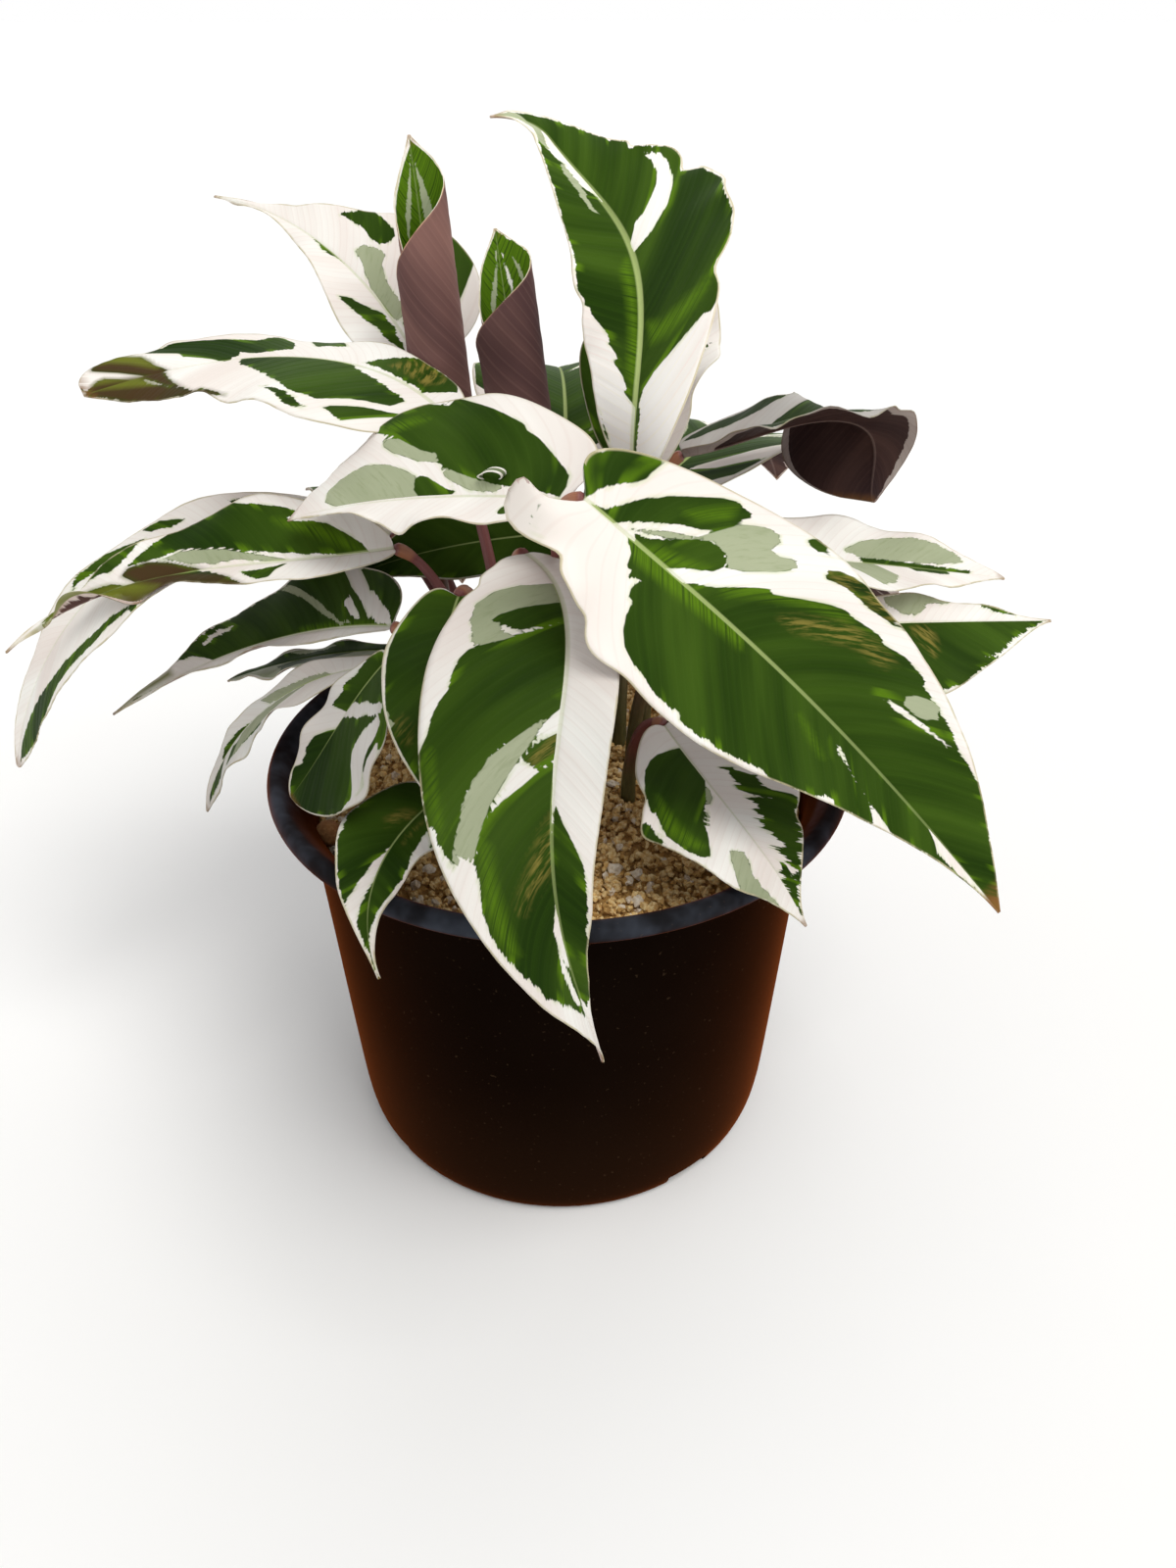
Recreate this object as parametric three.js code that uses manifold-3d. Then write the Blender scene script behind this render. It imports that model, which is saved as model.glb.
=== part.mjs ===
// A potted calathea with cream-marbled leaves, in a black nursery pot.
// Units are millimetres and degrees, +Z is up and the front of the plant is -Y.
// The origin is the middle of the pot's base, on the surface that it stands on.
//
// Each leaf grows on its own: a petiole rises out of a hole in the soil, swells at
// its joint and carries one blade. A blade is laid out along its midrib, whose
// compass heading and pitch vary from base to tip, with a left and a right half.
import * as THREE from 'three';
import { mergeVertices } from 'three/addons/utils/BufferGeometryUtils.js';
import Module from 'manifold-3d';

const manifold = await Module();
manifold.setup();

// Driving dimensions of the pot and its filling.
const pot = {
  height: 116,
  rimRadius: 77.5,
  rimInnerRadius: 73,
  rimDrop: 5,
  shoulderRadius: 68,
  shoulderHeight: 106,
  wallFootRadius: 63,
  wallFootHeight: 18,
  baseRadius: 59.5,
  wall: 1.8,
  floor: 3,
  sides: 48,
};
// The foot is rounded off in two steps, and the rim is a flat lip with a soft edge.
const footShape = { edge: [1.2, 1.4], turn: [2.4, 6], innerEdge: 2, innerTurn: [0.4, 7] };
const lip = { rise: 2.5, flare: 1.5, under: [0.4, 0.6], face: 2.5, top: [1, 0.5], flat: 2.2 };
const lipInner = { drop: 0.6, neck: [1, 2], wallDrop: 2 };
const notch = { count: 4, width: 14, depth: 7, height: 4, outset: 1, firstAngle: 35 };
const soil = { height: 104, mound: 4, crown: 0.5, grain: 0.9, rings: 6, spokes: 36 };
const soilWallGap = 0.7;
const soilFootInset = 2.5;
// Each clod wave has a size and, in turns of 1 mm, its slopes along X and Y.
const clods = { broad: 0.6, broadX: 0.13, broadY: 0.17, fineX: 0.31, fineY: 0.27, start: 1 };
const clearance = 0.3;

// Driving dimensions that the leaves share.
const stemDepth = 20;
const stemRadius = { foot: 2.0, neck: 1.25, joint: 1.7 };
const stemJointStart = 0.86;
const stemSwellTurn = 135;
const stemStraight = 0.45;
const stemArrival = { length: 14, share: 0.3 };
const stemSides = 6;
const stemSteps = 9;
const bladeThickness = 0.8;
const bladeEndWidth = 0.8;
const ribSteps = 96;
const hookStart = 0.86;
const lobeReach = 0.06;
const furledTurn = 35;
const bladeRows = { least: 6, each: 20 };
const bladeColumns = { narrow: 2, wide: 3, wideFrom: 12 };

// One row a leaf. foot is where its petiole leaves the soil, base where its blade
// begins. heading, pitch and roll are lists along the midrib: one value, or those
// at the base, the middle and the tip. Pairs are for the left and the right half:
// width is the half-width, fold the angle at which the half leaves the midrib, curl
// its bending in degrees a millimetre, belly where it is widest, and lobe how far it
// runs back past the base. full is how round the base is, wave the height and the
// number of the margin's waves, hook the last turn of the tip, and joint the angle
// between the petiole's end and the midrib.
const leaves = [
  { name: 'front_right', foot: [6, 8], base: [6, -39, 198], length: 133, heading: [18, -21, -38],
    pitch: [-44, -40, -39], roll: [44], width: [29, 28], belly: [0.41, 0.29], full: 0.72,
    fold: [8, 12], lobe: [9, 16], joint: 60 },
  { name: 'front', foot: [-4, -20], base: [-7, -21, 179], length: 124, heading: [-46, -98, 3],
    pitch: [-9, -45, -76], roll: [3, -1, -13], width: [11, 29], belly: [0.37, 0.37], full: 0.73,
    fold: [9, 12], lobe: [0, 3], joint: 35 },
  { name: 'centre_left', foot: [-5, -3], base: [2, -26, 193], length: 84,
    heading: [139, 154, 139], pitch: [-8, -12, -24], roll: [-22, -32, -22], width: [10, 30],
    belly: [0.27, 0.43], full: 0.58, fold: [14, 9], lobe: [3, 6], joint: 32 },
  { name: 'left', foot: [-18, 4], base: [-42, 18, 165], length: 119, heading: [200, 168, 185],
    pitch: [-1, -14, -39], roll: [-18], width: [10, 20], belly: [0.21, 0.3], full: 0.93,
    fold: [14, 21], wave: [2, 3] },
  { name: 'far_left', foot: [-20, 16], base: [-46, 41, 160], length: 152,
    heading: [-181, -174, -160], pitch: [23, -32, -73], roll: [-14, -20, -22], width: [23, 9],
    belly: [0.51, 0.44], full: 0.68, fold: [10, 18] },
  { name: 'lower_left', foot: [-22, -2], base: [-42, 1, 151], length: 103,
    heading: [146, 161, 183], pitch: [-13, -24, -32], roll: [-19], width: [4, 21],
    belly: [0.27, 0.28], full: 0.66, fold: [5, 18] },
  { name: 'low_left', foot: [-25, -8], base: [-45, -2, 141], length: 71, heading: [161, 187, 214],
    pitch: [-10, -37, -73], roll: [-4, -5, -7], width: [13, 7], belly: [0.41, 0.35], full: 0.62 },
  { name: 'small_left', foot: [-27, 4], base: [-45, 13, 138], length: 60,
    heading: [149, 157, 162], pitch: [-13, -20, -26], roll: [-3], width: [13, 5],
    belly: [0.39, 0.41], full: 0.62 },
  { name: 'rim_left', foot: [-26, -16], base: [-41, -18, 151], length: 42,
    heading: [-158, -156, -153], pitch: [-40, -52, -45], roll: [-3, -7, -9], width: [27, 9],
    belly: [0.52, 0.47], full: 0.64 },
  { name: 'rim_front_left', foot: [-20, -27], base: [-29, -39, 125], length: 52,
    heading: [-139, -103, -63], pitch: [-15, -17, -23], roll: [4], width: [12, 14],
    belly: [0.23, 0.24], full: 0.66 },
  { name: 'inner_front', foot: [-14, -14], base: [-23, -17, 167], length: 52,
    heading: [-111, -94, -74], pitch: [-35, -48, -60], roll: [-2], width: [18, 13],
    belly: [0.38, 0.39], full: 0.63 },
  { name: 'inner_left', foot: [-3, 14], base: [5, 31, 164], length: 60, heading: [178, 180, 184],
    pitch: [-4, -10, -20], roll: [-38], width: [12, 14], joint: 60 },
  { name: 'rim_right', foot: [18, -10], base: [26, -20, 133], length: 66,
    heading: [-52, -63, -81], pitch: [-32, -14, -7], roll: [-9, -1, 0], width: [21, 24],
    belly: [0.3, 0.4], full: 0.83, fold: [13, 13] },
  { name: 'right_upper', foot: [20, 6], base: [47, 7, 168], length: 75, heading: [14, 9, 5],
    pitch: [-13, -10, -10], roll: [12], width: [17, 15], belly: [0.41, 0.36], full: 0.63 },
  { name: 'right_lower', foot: [26, 0], base: [65, -1, 150], length: 68, heading: [8, 11, 11],
    pitch: [1, -5, -5], roll: [28], width: [8, 22], belly: [0.33, 0.33], full: 0.7,
    fold: [12, 0] },
  { name: 'arched_right', foot: [17, 17], base: [34, 37, 183], length: 76, heading: [0, 10, 95],
    pitch: [6, 0, -136], roll: [10, 12, -8], width: [29, 14], belly: [0.6, 0.48], full: 0.5,
    fold: [-6, 42] },
  { name: 'tall', foot: [9, 2], base: [19, 5, 188], length: 123, heading: [61, 104, 145],
    pitch: [106, 25, 58], roll: [-41, -38, -4], width: [16, 27], belly: [0.34, 0.34], full: 0.64,
    hook: [60, -60], joint: 10 },
  { name: 'tall_rear', foot: [11, 14], base: [23, 31, 181], length: 64, heading: [59, 73, 83],
    pitch: [88, 42, -6], roll: [-4], width: [20, 15], belly: [0.44, 0.46], full: 0.67,
    joint: 10 },
  { name: 'upper_left', foot: [-30, 28], base: [-38, 76, 197], length: 89,
    heading: [144, 143, 148], pitch: [56, 25, 3], roll: [-29], width: [14, 29],
    belly: [0.19, 0.21], full: 0.7, joint: 90 },
  { name: 'long_left', foot: [-12, 8], base: [-27, 30, 195], length: 109,
    heading: [130, 169, 214], pitch: [24, -2, -10], roll: [-7, -4, -21], width: [31, 16],
    belly: [0.32, 0.53], full: 0.41, fold: [2, 5], lobe: [1, 2], joint: 36 },
  { name: 'furled_left', foot: [-14, 34], base: [-30, 73, 171], length: 84, heading: [153],
    pitch: [85], roll: [-61], width: [17, 42], belly: [0.42, 0.42], full: 0.9, fold: [1, -1],
    curl: [9.5, 7.3], lobe: [0, 0], joint: 0 },
  { name: 'furled_right', foot: [-3, 24], base: [-7, 50, 174], length: 62, heading: [139],
    pitch: [81], roll: [-49], width: [16, 41], belly: [0.42, 0.42], full: 0.9, fold: [0, 0],
    curl: [9.2, 7], lobe: [0, 0], joint: 0 },
  { name: 'back_right', foot: [14, 26], base: [24, 48, 165], length: 112, heading: [50, 58, 66],
    pitch: [25, -12, -50], width: [26, 26] },
  { name: 'back', foot: [2, 34], base: [3, 62, 172], length: 118, heading: [88, 93, 98],
    pitch: [28, -5, -48], width: [28, 28] },
  { name: 'back_left', foot: [-20, 31], base: [-36, 58, 150], length: 86,
    heading: [118, 120, 121], pitch: [22, -10, -48], roll: [1], width: [24, 24], lobe: [3, 2] },
  { name: 'low_back', foot: [-6, 38], base: [-8, 56, 138], length: 92, heading: [106, 110, 116],
    pitch: [20, -22, -62], width: [21, 21] },
  { name: 'low_back_right', foot: [24, 19], base: [36, 32, 146], length: 96,
    heading: [28, 30, 36], pitch: [18, -20, -60], width: [21, 21] },
];

const leafDefaults = {
  roll: [0],
  belly: [0.38, 0.38],
  full: 0.62,
  fold: [12, 12],
  curl: [-0.4, -0.4],
  lobe: [3, 3],
  wave: [1, 3],
  hook: [0, 0],
  joint: 25,
};

const colours = {
  leaf: 0x2f5a26,
  stem: 0x8a4a3c,
  pot: 0x16130f,
  soil: 0x7a5a34,
};

const toRadians = THREE.MathUtils.degToRad;

// Value at place s, from 0 to 1, of a list with one or three entries.
function along(list, s) {
  if (list.length === 1) return list[0];
  const [start, middle, end] = list;
  return start * (2 * s - 1) * (s - 1) + middle * 4 * s * (1 - s) + end * s * (2 * s - 1);
}

// Direction of the midrib at s, with the leaf's left side and its upper side.
function bladeAxes(leaf, s) {
  const hooked = THREE.MathUtils.clamp((s - hookStart) / (1 - hookStart), 0, 1);
  const heading = toRadians(along(leaf.heading, s) + leaf.hook[0] * hooked);
  const pitch = toRadians(along(leaf.pitch, s) + leaf.hook[1] * hooked);
  const [ch, sh, cp, sp] = [Math.cos(heading), Math.sin(heading), Math.cos(pitch), Math.sin(pitch)];
  const forward = new THREE.Vector3(ch * cp, sh * cp, sp);
  const roll = toRadians(along(leaf.roll, s));
  const left = new THREE.Vector3(-sh, ch, 0).applyAxisAngle(forward, roll);
  const up = new THREE.Vector3(-sp * ch, -sp * sh, cp).applyAxisAngle(forward, roll);
  return { forward, left, up };
}

// Points of the midrib at equal steps, summed from its direction.
function midrib(leaf, steps) {
  const point = new THREE.Vector3(...leaf.base);
  const points = [point.clone()];
  for (let i = 0; i < steps; i += 1) {
    point.addScaledVector(bladeAxes(leaf, (i + 0.5) / steps).forward, leaf.length / steps);
    points.push(point.clone());
  }
  return points;
}

// Half-width of the blade at s: rounded at the base and drawn out at the tip.
function halfWidth(leaf, side, s) {
  const belly = leaf.belly[side];
  const taper = (leaf.full * (1 - belly)) / belly;
  const rise = Math.pow(s / belly, leaf.full);
  const fall = Math.pow((1 - s) / (1 - belly), taper);
  return leaf.width[side] * rise * fall + bladeEndWidth;
}

// Point of the blade's middle surface and its normal, at s along the midrib and at
// q across it, which runs from 1 at the left margin to -1 at the right one.
function bladePoint(leaf, ribPoint, s, q) {
  const { forward, left, up } = bladeAxes(leaf, s);
  const side = q < 0 ? 1 : 0;
  const sign = q < 0 ? -1 : 1;
  const across = Math.abs(q);
  const distance = across * halfWidth(leaf, side, s);
  const fold = toRadians(leaf.fold[side]);
  const curl = toRadians(leaf.curl[side]);
  const angle = fold + curl * distance;
  const out = (Math.sin(angle) - Math.sin(fold)) / curl;
  const lift = (Math.cos(fold) - Math.cos(angle)) / curl;
  const phase = 2 * Math.PI * leaf.wave[1] * s + 2 * side;
  const wave = leaf.wave[0] * across ** 2 * Math.sin(phase) * Math.sin(Math.PI * s);
  const back = leaf.lobe[side] * (s / lobeReach) * Math.exp(1 - s / lobeReach) * across ** 1.5;
  const point = ribPoint.clone()
    .addScaledVector(left, sign * out)
    .addScaledVector(up, lift + wave)
    .addScaledVector(forward, -back);
  const normal = left.multiplyScalar(-sign * Math.sin(angle)).addScaledVector(up, Math.cos(angle));
  return { point, normal };
}

// A closed body from two facing grids of points, each rows by columns. Both grids
// are split into triangles alike, so the thin body never crosses itself.
function slab(top, bottom, rows, columns) {
  const positions = [...top, ...bottom].flatMap((p) => [p.x, p.y, p.z]);
  const offset = rows * columns;
  const index = [];
  const at = (row, column) => row * columns + column;
  for (let r = 0; r < rows - 1; r += 1) {
    for (let c = 0; c < columns - 1; c += 1) {
      const [a, b, d, e] = [at(r, c), at(r + 1, c), at(r + 1, c + 1), at(r, c + 1)];
      index.push(a, b, d, a, d, e);
      index.push(offset + a, offset + d, offset + b, offset + a, offset + e, offset + d);
    }
  }
  const edge = [];
  for (let c = 0; c < columns - 1; c += 1) edge.push(at(0, c));
  for (let r = 0; r < rows - 1; r += 1) edge.push(at(r, columns - 1));
  for (let c = columns - 1; c > 0; c -= 1) edge.push(at(rows - 1, c));
  for (let r = rows - 1; r > 0; r -= 1) edge.push(at(r, 0));
  edge.forEach((a, i) => {
    const b = edge[(i + 1) % edge.length];
    index.push(a, offset + b, offset + a, a, b, offset + b);
  });
  const geometry = new THREE.BufferGeometry();
  geometry.setAttribute('position', new THREE.Float32BufferAttribute(positions, 3));
  geometry.setIndex(index);
  return geometry;
}

// Stations along a blade and columns across it: long blades get more stations, and
// a half that rolls up tightly gets a column for each part of its turn.
function bladeGrid(leaf) {
  const rows = Math.round(bladeRows.least + leaf.length / bladeRows.each);
  const stations = Array.from({ length: rows }, (_, i) => i / (rows - 1));
  const columns = [0, 1].map((side) => {
    const turn = Math.abs(leaf.curl[side]) * leaf.width[side];
    const { narrow, wide, wideFrom } = bladeColumns;
    const least = leaf.width[side] > wideFrom ? wide : narrow;
    return Math.max(least, Math.ceil(turn / furledTurn));
  });
  const places = [];
  for (let i = columns[1]; i > 0; i -= 1) places.push(-i / columns[1]);
  for (let i = 0; i <= columns[0]; i += 1) places.push(i / columns[0]);
  return { stations, places };
}

function bladeGeometry(leaf) {
  const rib = new THREE.CatmullRomCurve3(midrib(leaf, ribSteps));
  const { stations, places } = bladeGrid(leaf);
  const top = [];
  const bottom = [];
  for (const s of stations) {
    const ribPoint = rib.getPoint(s);
    for (const q of places) {
      const { point, normal } = bladePoint(leaf, ribPoint, s, q);
      top.push(point.clone().addScaledVector(normal, bladeThickness / 2));
      bottom.push(point.clone().addScaledVector(normal, -bladeThickness / 2));
    }
  }
  return slab(top, bottom, stations.length, places.length);
}

// Centre line of a petiole: straight up out of the soil, then one smooth bend that
// reaches the blade's base from below, at the angle of its joint to the midrib.
function petioleCurve(leaf) {
  const { forward, up } = bladeAxes(leaf, 0);
  const joint = toRadians(leaf.joint);
  const arrival = forward.multiplyScalar(Math.cos(joint)).addScaledVector(up, Math.sin(joint));
  const gap = clearance + (bladeThickness / 2) * Math.sin(joint);
  const end = new THREE.Vector3(...leaf.base).addScaledVector(arrival, -gap);
  const ground = new THREE.Vector3(leaf.foot[0], leaf.foot[1], soil.height + soil.mound);
  const rise = end.z - ground.z;
  const lower = ground.clone().setZ(ground.z + rise * stemStraight);
  const approach = Math.min(stemArrival.length, rise * stemArrival.share);
  const upper = end.clone().addScaledVector(arrival, -approach);
  return new THREE.CubicBezierCurve3(ground, lower, upper, end);
}

// Radius of a petiole at t above the soil: it thins upwards and swells at its joint.
function petioleRadius(t) {
  const { foot, neck, joint } = stemRadius;
  if (t < stemJointStart) return THREE.MathUtils.lerp(foot, neck, t / stemJointStart);
  const done = (t - stemJointStart) / (1 - stemJointStart);
  return THREE.MathUtils.lerp(neck, joint, Math.sin(toRadians(stemSwellTurn * done)));
}

// A closed tube through points, with a radius for each, its ring turned along with
// the path so that it doesn't twist.
function tube(points, radii, sides) {
  const positions = [];
  let across = new THREE.Vector3(1, 0, 0);
  points.forEach((point, i) => {
    const before = points[Math.max(i - 1, 0)];
    const after = points[Math.min(i + 1, points.length - 1)];
    const tangent = after.clone().sub(before).normalize();
    across = across.clone().addScaledVector(tangent, -across.dot(tangent)).normalize();
    const other = tangent.clone().cross(across);
    for (let k = 0; k < sides; k += 1) {
      const angle = (2 * Math.PI * k) / sides;
      const corner = point.clone()
        .addScaledVector(across, radii[i] * Math.cos(angle))
        .addScaledVector(other, radii[i] * Math.sin(angle));
      positions.push(corner.x, corner.y, corner.z);
    }
  });
  const index = [];
  for (let i = 0; i < points.length - 1; i += 1) {
    for (let k = 0; k < sides; k += 1) {
      const [a, b] = [i * sides + k, i * sides + ((k + 1) % sides)];
      index.push(a, b, b + sides, a, b + sides, a + sides);
    }
  }
  const last = (points.length - 1) * sides;
  for (let k = 1; k < sides - 1; k += 1) {
    index.push(0, k + 1, k);
    index.push(last, last + k, last + k + 1);
  }
  const geometry = new THREE.BufferGeometry();
  geometry.setAttribute('position', new THREE.Float32BufferAttribute(positions, 3));
  geometry.setIndex(index);
  return geometry;
}

function petioleGeometry(leaf) {
  const curve = petioleCurve(leaf);
  const points = [new THREE.Vector3(leaf.foot[0], leaf.foot[1], soil.height - stemDepth)];
  const radii = [stemRadius.foot];
  for (let i = 0; i <= stemSteps; i += 1) {
    const t = i / stemSteps;
    points.push(curve.getPoint(t));
    radii.push(petioleRadius(t));
  }
  return tube(points, radii, stemSides);
}

// three.js geometry to a solid that can be joined or cut, and back.
function toSolid(geometry) {
  const bare = geometry.clone();
  bare.deleteAttribute('normal');
  bare.deleteAttribute('uv');
  const merged = mergeVertices(bare, 1e-4);
  return new manifold.Manifold(new manifold.Mesh({
    numProp: 3,
    vertProperties: Float32Array.from(merged.attributes.position.array),
    triVerts: Uint32Array.from(merged.index.array),
  }));
}

function toGeometry(solid) {
  const mesh = solid.getMesh();
  const geometry = new THREE.BufferGeometry();
  geometry.setAttribute('position', new THREE.BufferAttribute(mesh.vertProperties, 3));
  geometry.setIndex(new THREE.BufferAttribute(mesh.triVerts, 1));
  return geometry;
}

// Outer line of the pot, from the middle of its base up to the rim's outer edge.
function potOuterLine() {
  const rimFoot = pot.height - pot.rimDrop;
  return [
    [0, 0],
    [pot.baseRadius, 0],
    [pot.baseRadius + footShape.edge[0], footShape.edge[1]],
    [pot.baseRadius + footShape.turn[0], footShape.turn[1]],
    [pot.wallFootRadius, pot.wallFootHeight],
    [pot.shoulderRadius, pot.shoulderHeight],
    [pot.shoulderRadius + lip.flare, pot.shoulderHeight + lip.rise],
    [pot.rimRadius - lip.flare, rimFoot],
    [pot.rimRadius - lip.under[0], rimFoot + lip.under[1]],
    [pot.rimRadius, pot.height - lip.face],
    [pot.rimRadius - lip.top[0], pot.height - lip.top[1]],
    [pot.rimRadius - lip.flat, pot.height],
  ];
}

// Inner line, from the rim down the wall to the middle of the floor.
function potInnerLine() {
  const shoulderInner = pot.shoulderRadius - pot.wall;
  return [
    [pot.rimInnerRadius, pot.height - lipInner.drop],
    [shoulderInner + lipInner.neck[0], pot.shoulderHeight + lipInner.neck[1]],
    [shoulderInner, pot.shoulderHeight - lipInner.wallDrop],
    [pot.wallFootRadius - pot.wall, pot.wallFootHeight],
    [pot.baseRadius + footShape.innerTurn[0], footShape.innerTurn[1]],
    [pot.baseRadius - footShape.innerEdge, pot.floor],
    [0, pot.floor],
  ];
}

// The pot is one moulded shell. Notches in the edge of its foot let water out.
function potGeometry() {
  const profile = [...potOuterLine(), ...potInnerLine()].map(([r, z]) => new THREE.Vector2(r, z));
  const shell = new THREE.LatheGeometry(profile, pot.sides).rotateX(Math.PI / 2);
  let solid = toSolid(shell);
  for (let i = 0; i < notch.count; i += 1) {
    const cutter = new THREE.BoxGeometry(2 * notch.depth, notch.width, 2 * notch.height);
    cutter.translate(pot.baseRadius + notch.outset, 0, 0);
    cutter.rotateZ(toRadians(notch.firstAngle + (360 / notch.count) * i));
    solid = solid.subtract(toSolid(cutter));
  }
  return toGeometry(solid);
}

// Height of the soil at a place: a low mound round the stems, with clods.
function soilHeight(x, y) {
  const radius = Math.hypot(x, y) / pot.shoulderRadius;
  const fine = Math.sin(x * clods.fineX + clods.start) * Math.cos(y * clods.fineY);
  const broad = clods.broad * Math.sin(x * clods.broadX - y * clods.broadY);
  return soil.height + soil.mound * (soil.crown - radius ** 2) + soil.grain * (fine + broad);
}

// The soil fills the pot up to its shoulder. Its top is a web of rings and spokes.
function soilGeometry(leaves) {
  const wallInner = pot.shoulderRadius - pot.wall - soilWallGap;
  const footInner = pot.wallFootRadius - pot.wall - clearance;
  const positions = [0, 0, soilHeight(0, 0)];
  for (let ring = 1; ring <= soil.rings; ring += 1) {
    const radius = (wallInner * ring) / soil.rings;
    for (let k = 0; k < soil.spokes; k += 1) {
      const angle = (2 * Math.PI * k) / soil.spokes;
      const [x, y] = [radius * Math.cos(angle), radius * Math.sin(angle)];
      positions.push(x, y, soilHeight(x, y));
    }
  }
  const bottoms = [
    [footInner, pot.wallFootHeight],
    [pot.baseRadius - soilFootInset, pot.floor + clearance],
  ];
  for (const [radius, z] of bottoms) {
    for (let k = 0; k < soil.spokes; k += 1) {
      const angle = (2 * Math.PI * k) / soil.spokes;
      positions.push(radius * Math.cos(angle), radius * Math.sin(angle), z);
    }
  }
  positions.push(0, 0, pot.floor + clearance);
  const ringStart = (ring) => 1 + ring * soil.spokes;
  const lastRing = soil.rings + bottoms.length - 1;
  const index = [];
  for (let k = 0; k < soil.spokes; k += 1) {
    const next = (k + 1) % soil.spokes;
    index.push(0, 1 + k, 1 + next);
    for (let ring = 0; ring < lastRing; ring += 1) {
      const [a, b] = [ringStart(ring) + k, ringStart(ring) + next];
      const [c, d] = [ringStart(ring + 1) + k, ringStart(ring + 1) + next];
      index.push(a, c, d, a, d, b);
    }
    index.push(ringStart(lastRing) + k, ringStart(lastRing + 1), ringStart(lastRing) + next);
  }
  const mound = new THREE.BufferGeometry();
  mound.setAttribute('position', new THREE.Float32BufferAttribute(positions, 3));
  mound.setIndex(index);
  let solid = toSolid(mound);
  const top = soil.height + 2 * soil.mound;
  for (const leaf of leaves) {
    const bottom = soil.height - stemDepth - clearance;
    const radius = (stemRadius.foot + clearance) / Math.cos(Math.PI / stemSides);
    const hole = tube(
      [new THREE.Vector3(...leaf.foot, bottom), new THREE.Vector3(...leaf.foot, top)],
      [radius, radius],
      stemSides,
    );
    solid = solid.subtract(toSolid(hole));
  }
  return toGeometry(solid);
}

function addPiece(group, name, geometry, colour, roughness) {
  const material = new THREE.MeshStandardMaterial({ color: colour, roughness, metalness: 0 });
  const mesh = new THREE.Mesh(geometry, material);
  mesh.name = name;
  group.add(mesh);
}

const plant = new THREE.Group();
addPiece(plant, 'pot', potGeometry(), colours.pot, 0.4);
addPiece(plant, 'soil', soilGeometry(leaves), colours.soil, 0.95);
for (const row of leaves) {
  const leaf = { ...leafDefaults, ...row };
  addPiece(plant, `stem_${leaf.name}`, petioleGeometry(leaf), colours.stem, 0.5);
  addPiece(plant, `leaf_${leaf.name}`, bladeGeometry(leaf), colours.leaf, 0.45);
}

export default plant;
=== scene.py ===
import math

import bmesh
import bpy
import numpy as np
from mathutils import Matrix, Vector


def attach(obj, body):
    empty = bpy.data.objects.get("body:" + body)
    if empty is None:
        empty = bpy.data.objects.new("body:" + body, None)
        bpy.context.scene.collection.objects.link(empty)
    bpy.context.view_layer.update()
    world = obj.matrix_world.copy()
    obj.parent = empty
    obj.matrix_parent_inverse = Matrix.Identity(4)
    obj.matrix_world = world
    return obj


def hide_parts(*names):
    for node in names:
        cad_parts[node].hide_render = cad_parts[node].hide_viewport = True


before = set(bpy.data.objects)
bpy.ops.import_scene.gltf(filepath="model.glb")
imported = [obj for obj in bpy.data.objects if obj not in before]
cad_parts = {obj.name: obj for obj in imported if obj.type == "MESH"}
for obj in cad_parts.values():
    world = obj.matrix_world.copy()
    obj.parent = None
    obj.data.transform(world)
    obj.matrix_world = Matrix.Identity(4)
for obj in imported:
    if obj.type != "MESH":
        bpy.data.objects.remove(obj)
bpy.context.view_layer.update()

# A potted calathea with cream-marbled leaves. Lengths in the leaf table are in
# millimetres and angles in degrees; everything that reaches Blender is in metres.
MM = 0.001
rng = np.random.default_rng(7)

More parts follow.
